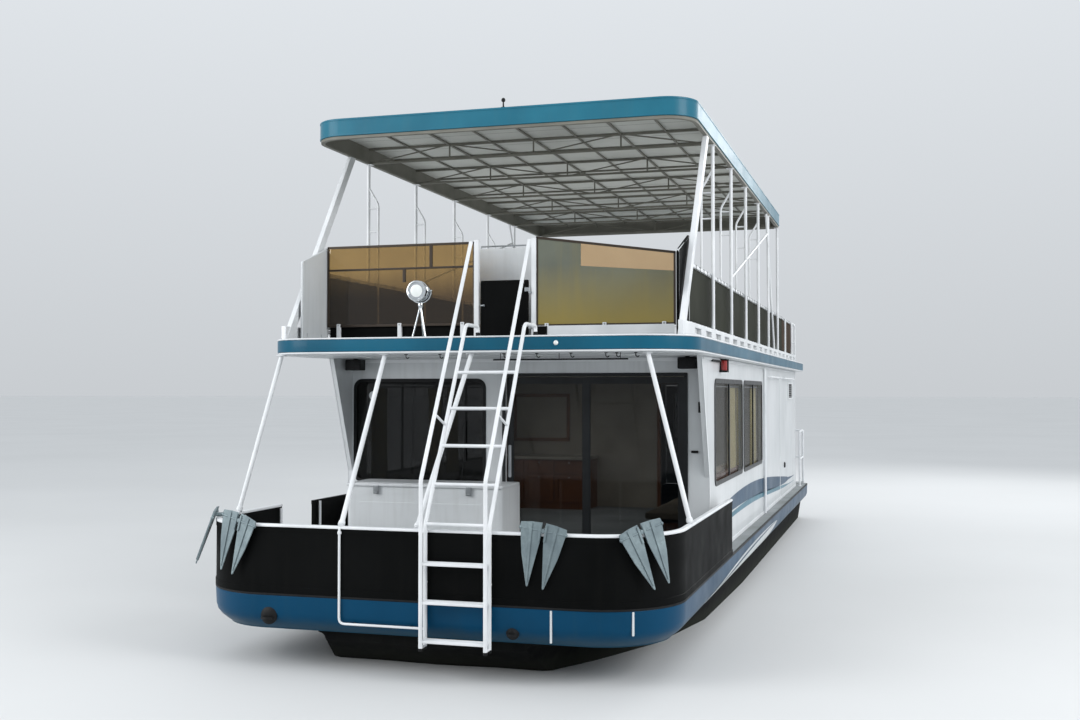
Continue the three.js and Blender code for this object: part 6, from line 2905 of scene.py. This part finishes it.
    def cover(self) -> None:
        """The moulded cover with a waist seam, an air scoop and a tilt grip."""
        x, y0 = self.x, self.steer - 0.02
        levels = [
            # height, front, back, half width
            (0.3304, 0.03, 0.40, 0.120), (0.36, 0.018, 0.445, 0.138), (0.42, 0.0, 0.518, 0.163),
            (0.47, 0.0, 0.524, 0.168), (0.476, 0.004, 0.520, 0.164), (0.484, 0.004, 0.520, 0.164),
            (0.49, 0.0, 0.525, 0.169), (0.60, 0.010, 0.529, 0.171), (0.68, 0.024, 0.518, 0.163),
            (0.74, 0.042, 0.498, 0.148), (0.775, 0.07, 0.468, 0.128), (0.795, 0.105, 0.43, 0.106),
            (0.8, 0.14, 0.395, 0.08),
        ]
        rings = [
            [
                (a, b, z)
                for a, b in rounded_rect(x - half, x + half, y0 + front, y0 + back, half * 0.58, 7)
            ]
            for z, front, back, half in levels
        ]
        hand_over(
            f"engine_cover_{self.name}", [skin(rings)], COVER_GLOSS, body=f"engine_{self.name}",
            node=f"engine_cowl_{self.name}", crease=40,
        )
        parts = [
            block((x - 0.09, y0 + 0.498, 0.60), (x + 0.09, y0 + 0.534, 0.66), 0.01),
            tube(
                [[
                    (x - 0.07, y0 + 0.52, 0.405), (x - 0.07, y0 + 0.533, 0.39),
                    (x + 0.07, y0 + 0.533, 0.39), (x + 0.07, y0 + 0.52, 0.405),
                ]],
                0.008, 0.02,
            ),
        ]
        for way in (-1, 1):
            band = rounded_rect(y0 + 0.10, y0 + 0.43, 0.545, 0.575, 0.012)
            parts.append(plate(band, Axis.X, x + way * 0.1655, x + way * 0.1735, 0.002))
        hand_over(
            f"engine_cover_trim_{self.name}", parts, BLACK_MOULDED, slot="engine_cowl",
            body=f"engine_{self.name}",
        )

    def blade(self) -> Piece:
        """One propeller blade: lens-shaped sections that lose pitch towards the tip.

        Returns:
            The blade.
        """
        stations = [
            # radius, chord, thickness, pitch in degrees
            (0.032, 0.070, 0.014, 40), (0.06, 0.092, 0.012, 34), (0.09, 0.106, 0.009, 28),
            (0.12, 0.106, 0.007, 24), (0.145, 0.092, 0.006, 21), (0.163, 0.066, 0.005, 19),
            (0.173, 0.038, 0.004, 18), (0.1778, 0.012, 0.003, 18),
        ]
        rings = []
        for radius, chord, thick, pitch in stations:
            t = math.radians(pitch)
            ring = []
            for k in range(12):
                turn = math.tau * k / 12
                a, b = chord / 2 * math.cos(turn), thick / 2 * math.sin(turn)
                out = math.sqrt(max(
                    radius**2 - (a * math.cos(t)) ** 2, 1e-6
                )) if radius > 0.06 else radius
                ring.append((
                    a * math.cos(t) - b * math.sin(t), a * math.sin(t) + b * math.cos(t), out
                ))
            rings.append(ring)
        return skin(rings)

    def propeller(self) -> None:
        """The propeller: a hub with its spinner and three copies of the blade."""
        x, (y, z) = self.x, self.prop
        hub = turned(
            [
                (0.0003, 0.0415), (0.06, 0.0418), (0.09, 0.040), (0.0948, 0.036), (0.0948, 0.02),
                (0.105, 0.018), (0.118, 0.010), (0.121, 0.003),
            ],
            (x, y, z), ABAFT, 28,
        )
        pattern = self.blade()
        place = Matrix.Translation((x, y + 0.048, z))
        blades = [
            copy_of(pattern, place @ Matrix.Rotation(math.tau * k / 3, 4, "Y")) for k in range(3)
        ]
        bpy.data.objects.remove(pattern)
        hand_over(
            f"propeller_{self.name}_casting", [hub, *blades], ENGINE_ENAMEL, slot="propeller_metal",
            body=f"propeller_{self.name}", node=f"propeller_{self.name}", crease=50,
        )


# The studio


@dataclass
class Studio:
    """A pale floor at the waterline, soft daylight and the camera."""

    eye: Point = (3.86, -16.6, 2.35)
    pitch: float = 91.45
    yaw: float = 16.6
    lens: float = 40.73

    def build(self) -> None:
        """Builds the floor, the lights and the camera."""
        self.floor()
        self.lights()
        self.camera()

    def floor(self) -> None:
        """A plain pale floor."""
        deselect()
        bpy.ops.mesh.primitive_plane_add(size=900, location=(0, 0, 0))
        made = bpy.context.object
        made.name = "studio_floor"
        paint = Finish("studio_floor_paint", "#d2d3d3", "#cecfcf", 6.0, 0.7, 0.1, 0.05, 0.0001)
        made.data.materials.append(paint.make())

    def lights(self) -> None:
        """A bright overcast sky, a large key from port ahead and a fill from starboard."""
        world = bpy.data.worlds.new("overcast")
        world.use_nodes = True
        tree = world.node_tree
        way = put(tree, "TexCoord", {}, out="Generated")
        height = put(tree, "SeparateXYZ", {}, {"Vector": way}, "Z")
        share = put(tree, "MapRange", {"From Max": 0.5}, {"Value": height})
        tones = {"data_type": "RGBA", Out.A: linear("#c9cdd1"), Out.B: linear("#eef3f8")}
        sky = put(tree, "Mix", tones, {Out.FACTOR: share}, Out.RESULT)
        tree.links.new(sky, tree.nodes["Background"].inputs["Color"])
        scene = bpy.context.scene
        scene.world, scene.view_settings.view_transform = world, "Standard"
        rows = (
            ("key", (17.0, -10.0, 10.0), (0.0, -1.0, 1.5), 9.0, 1800.0),
            ("fill", (-12.0, -15.0, 8.0), (0.0, 0.0, 2.0), 10.0, 1500.0),
            ("rim", (8.0, 16.0, 12.0), (0.0, 2.0, 2.0), 9.0, 1000.0),
            ("saloon", (0.0, -1.2, 2.6), (0.0, -1.2, 0.0), 2.2, 16.0),
            ("canopy", (0.0, -1.0, 2.95), (0.0, -1.0, 5.0), 3.6, 27.0),
        )
        for name, place, target, size, power in rows:
            lamp = bpy.data.lights.new(name, "AREA")
            lamp.shape, lamp.size, lamp.energy = "SQUARE", size, power
            made = bpy.data.objects.new(name, lamp)
            made.location, made.visible_camera = place, False
            made.rotation_euler = (
                Vector(target) - Vector(place)
            ).to_track_quat("-Z", "Y").to_euler()
            bpy.context.scene.collection.objects.link(made)

    def camera(self) -> None:
        """The camera at the photograph's place."""
        data = bpy.data.cameras.new("camera")
        data.lens, data.sensor_width, data.clip_end = self.lens, 36.0, 1200.0
        made = bpy.data.objects.new("camera", data)
        made.location = self.eye
        made.rotation_euler = (math.radians(self.pitch), 0.0, math.radians(self.yaw))
        bpy.context.scene.collection.objects.link(made)
        bpy.context.scene.camera = made


def main() -> None:
    """Builds the boat from its hull up, then the studio."""
    logging.basicConfig(level=logging.INFO, format="%(name)s %(message)s")
    parts = (
        Hull(), BowRail(), BowLadder(), BowStruts(), Anchors(), BowLocker(), Cabin(), Doors(),
        Saloon(), UpperDeck(), Screens(), FlyConsole(), SideFrames(), UpperSternRail(), Canopy(),
        Searchlight(), Stern(), Outboard("port", 1), Outboard("stbd", -1), Studio(),
    )
    for part in parts:
        LOG.info("building %s", type(part).__name__)
        part.build()


if __name__ == "__main__":
    main()
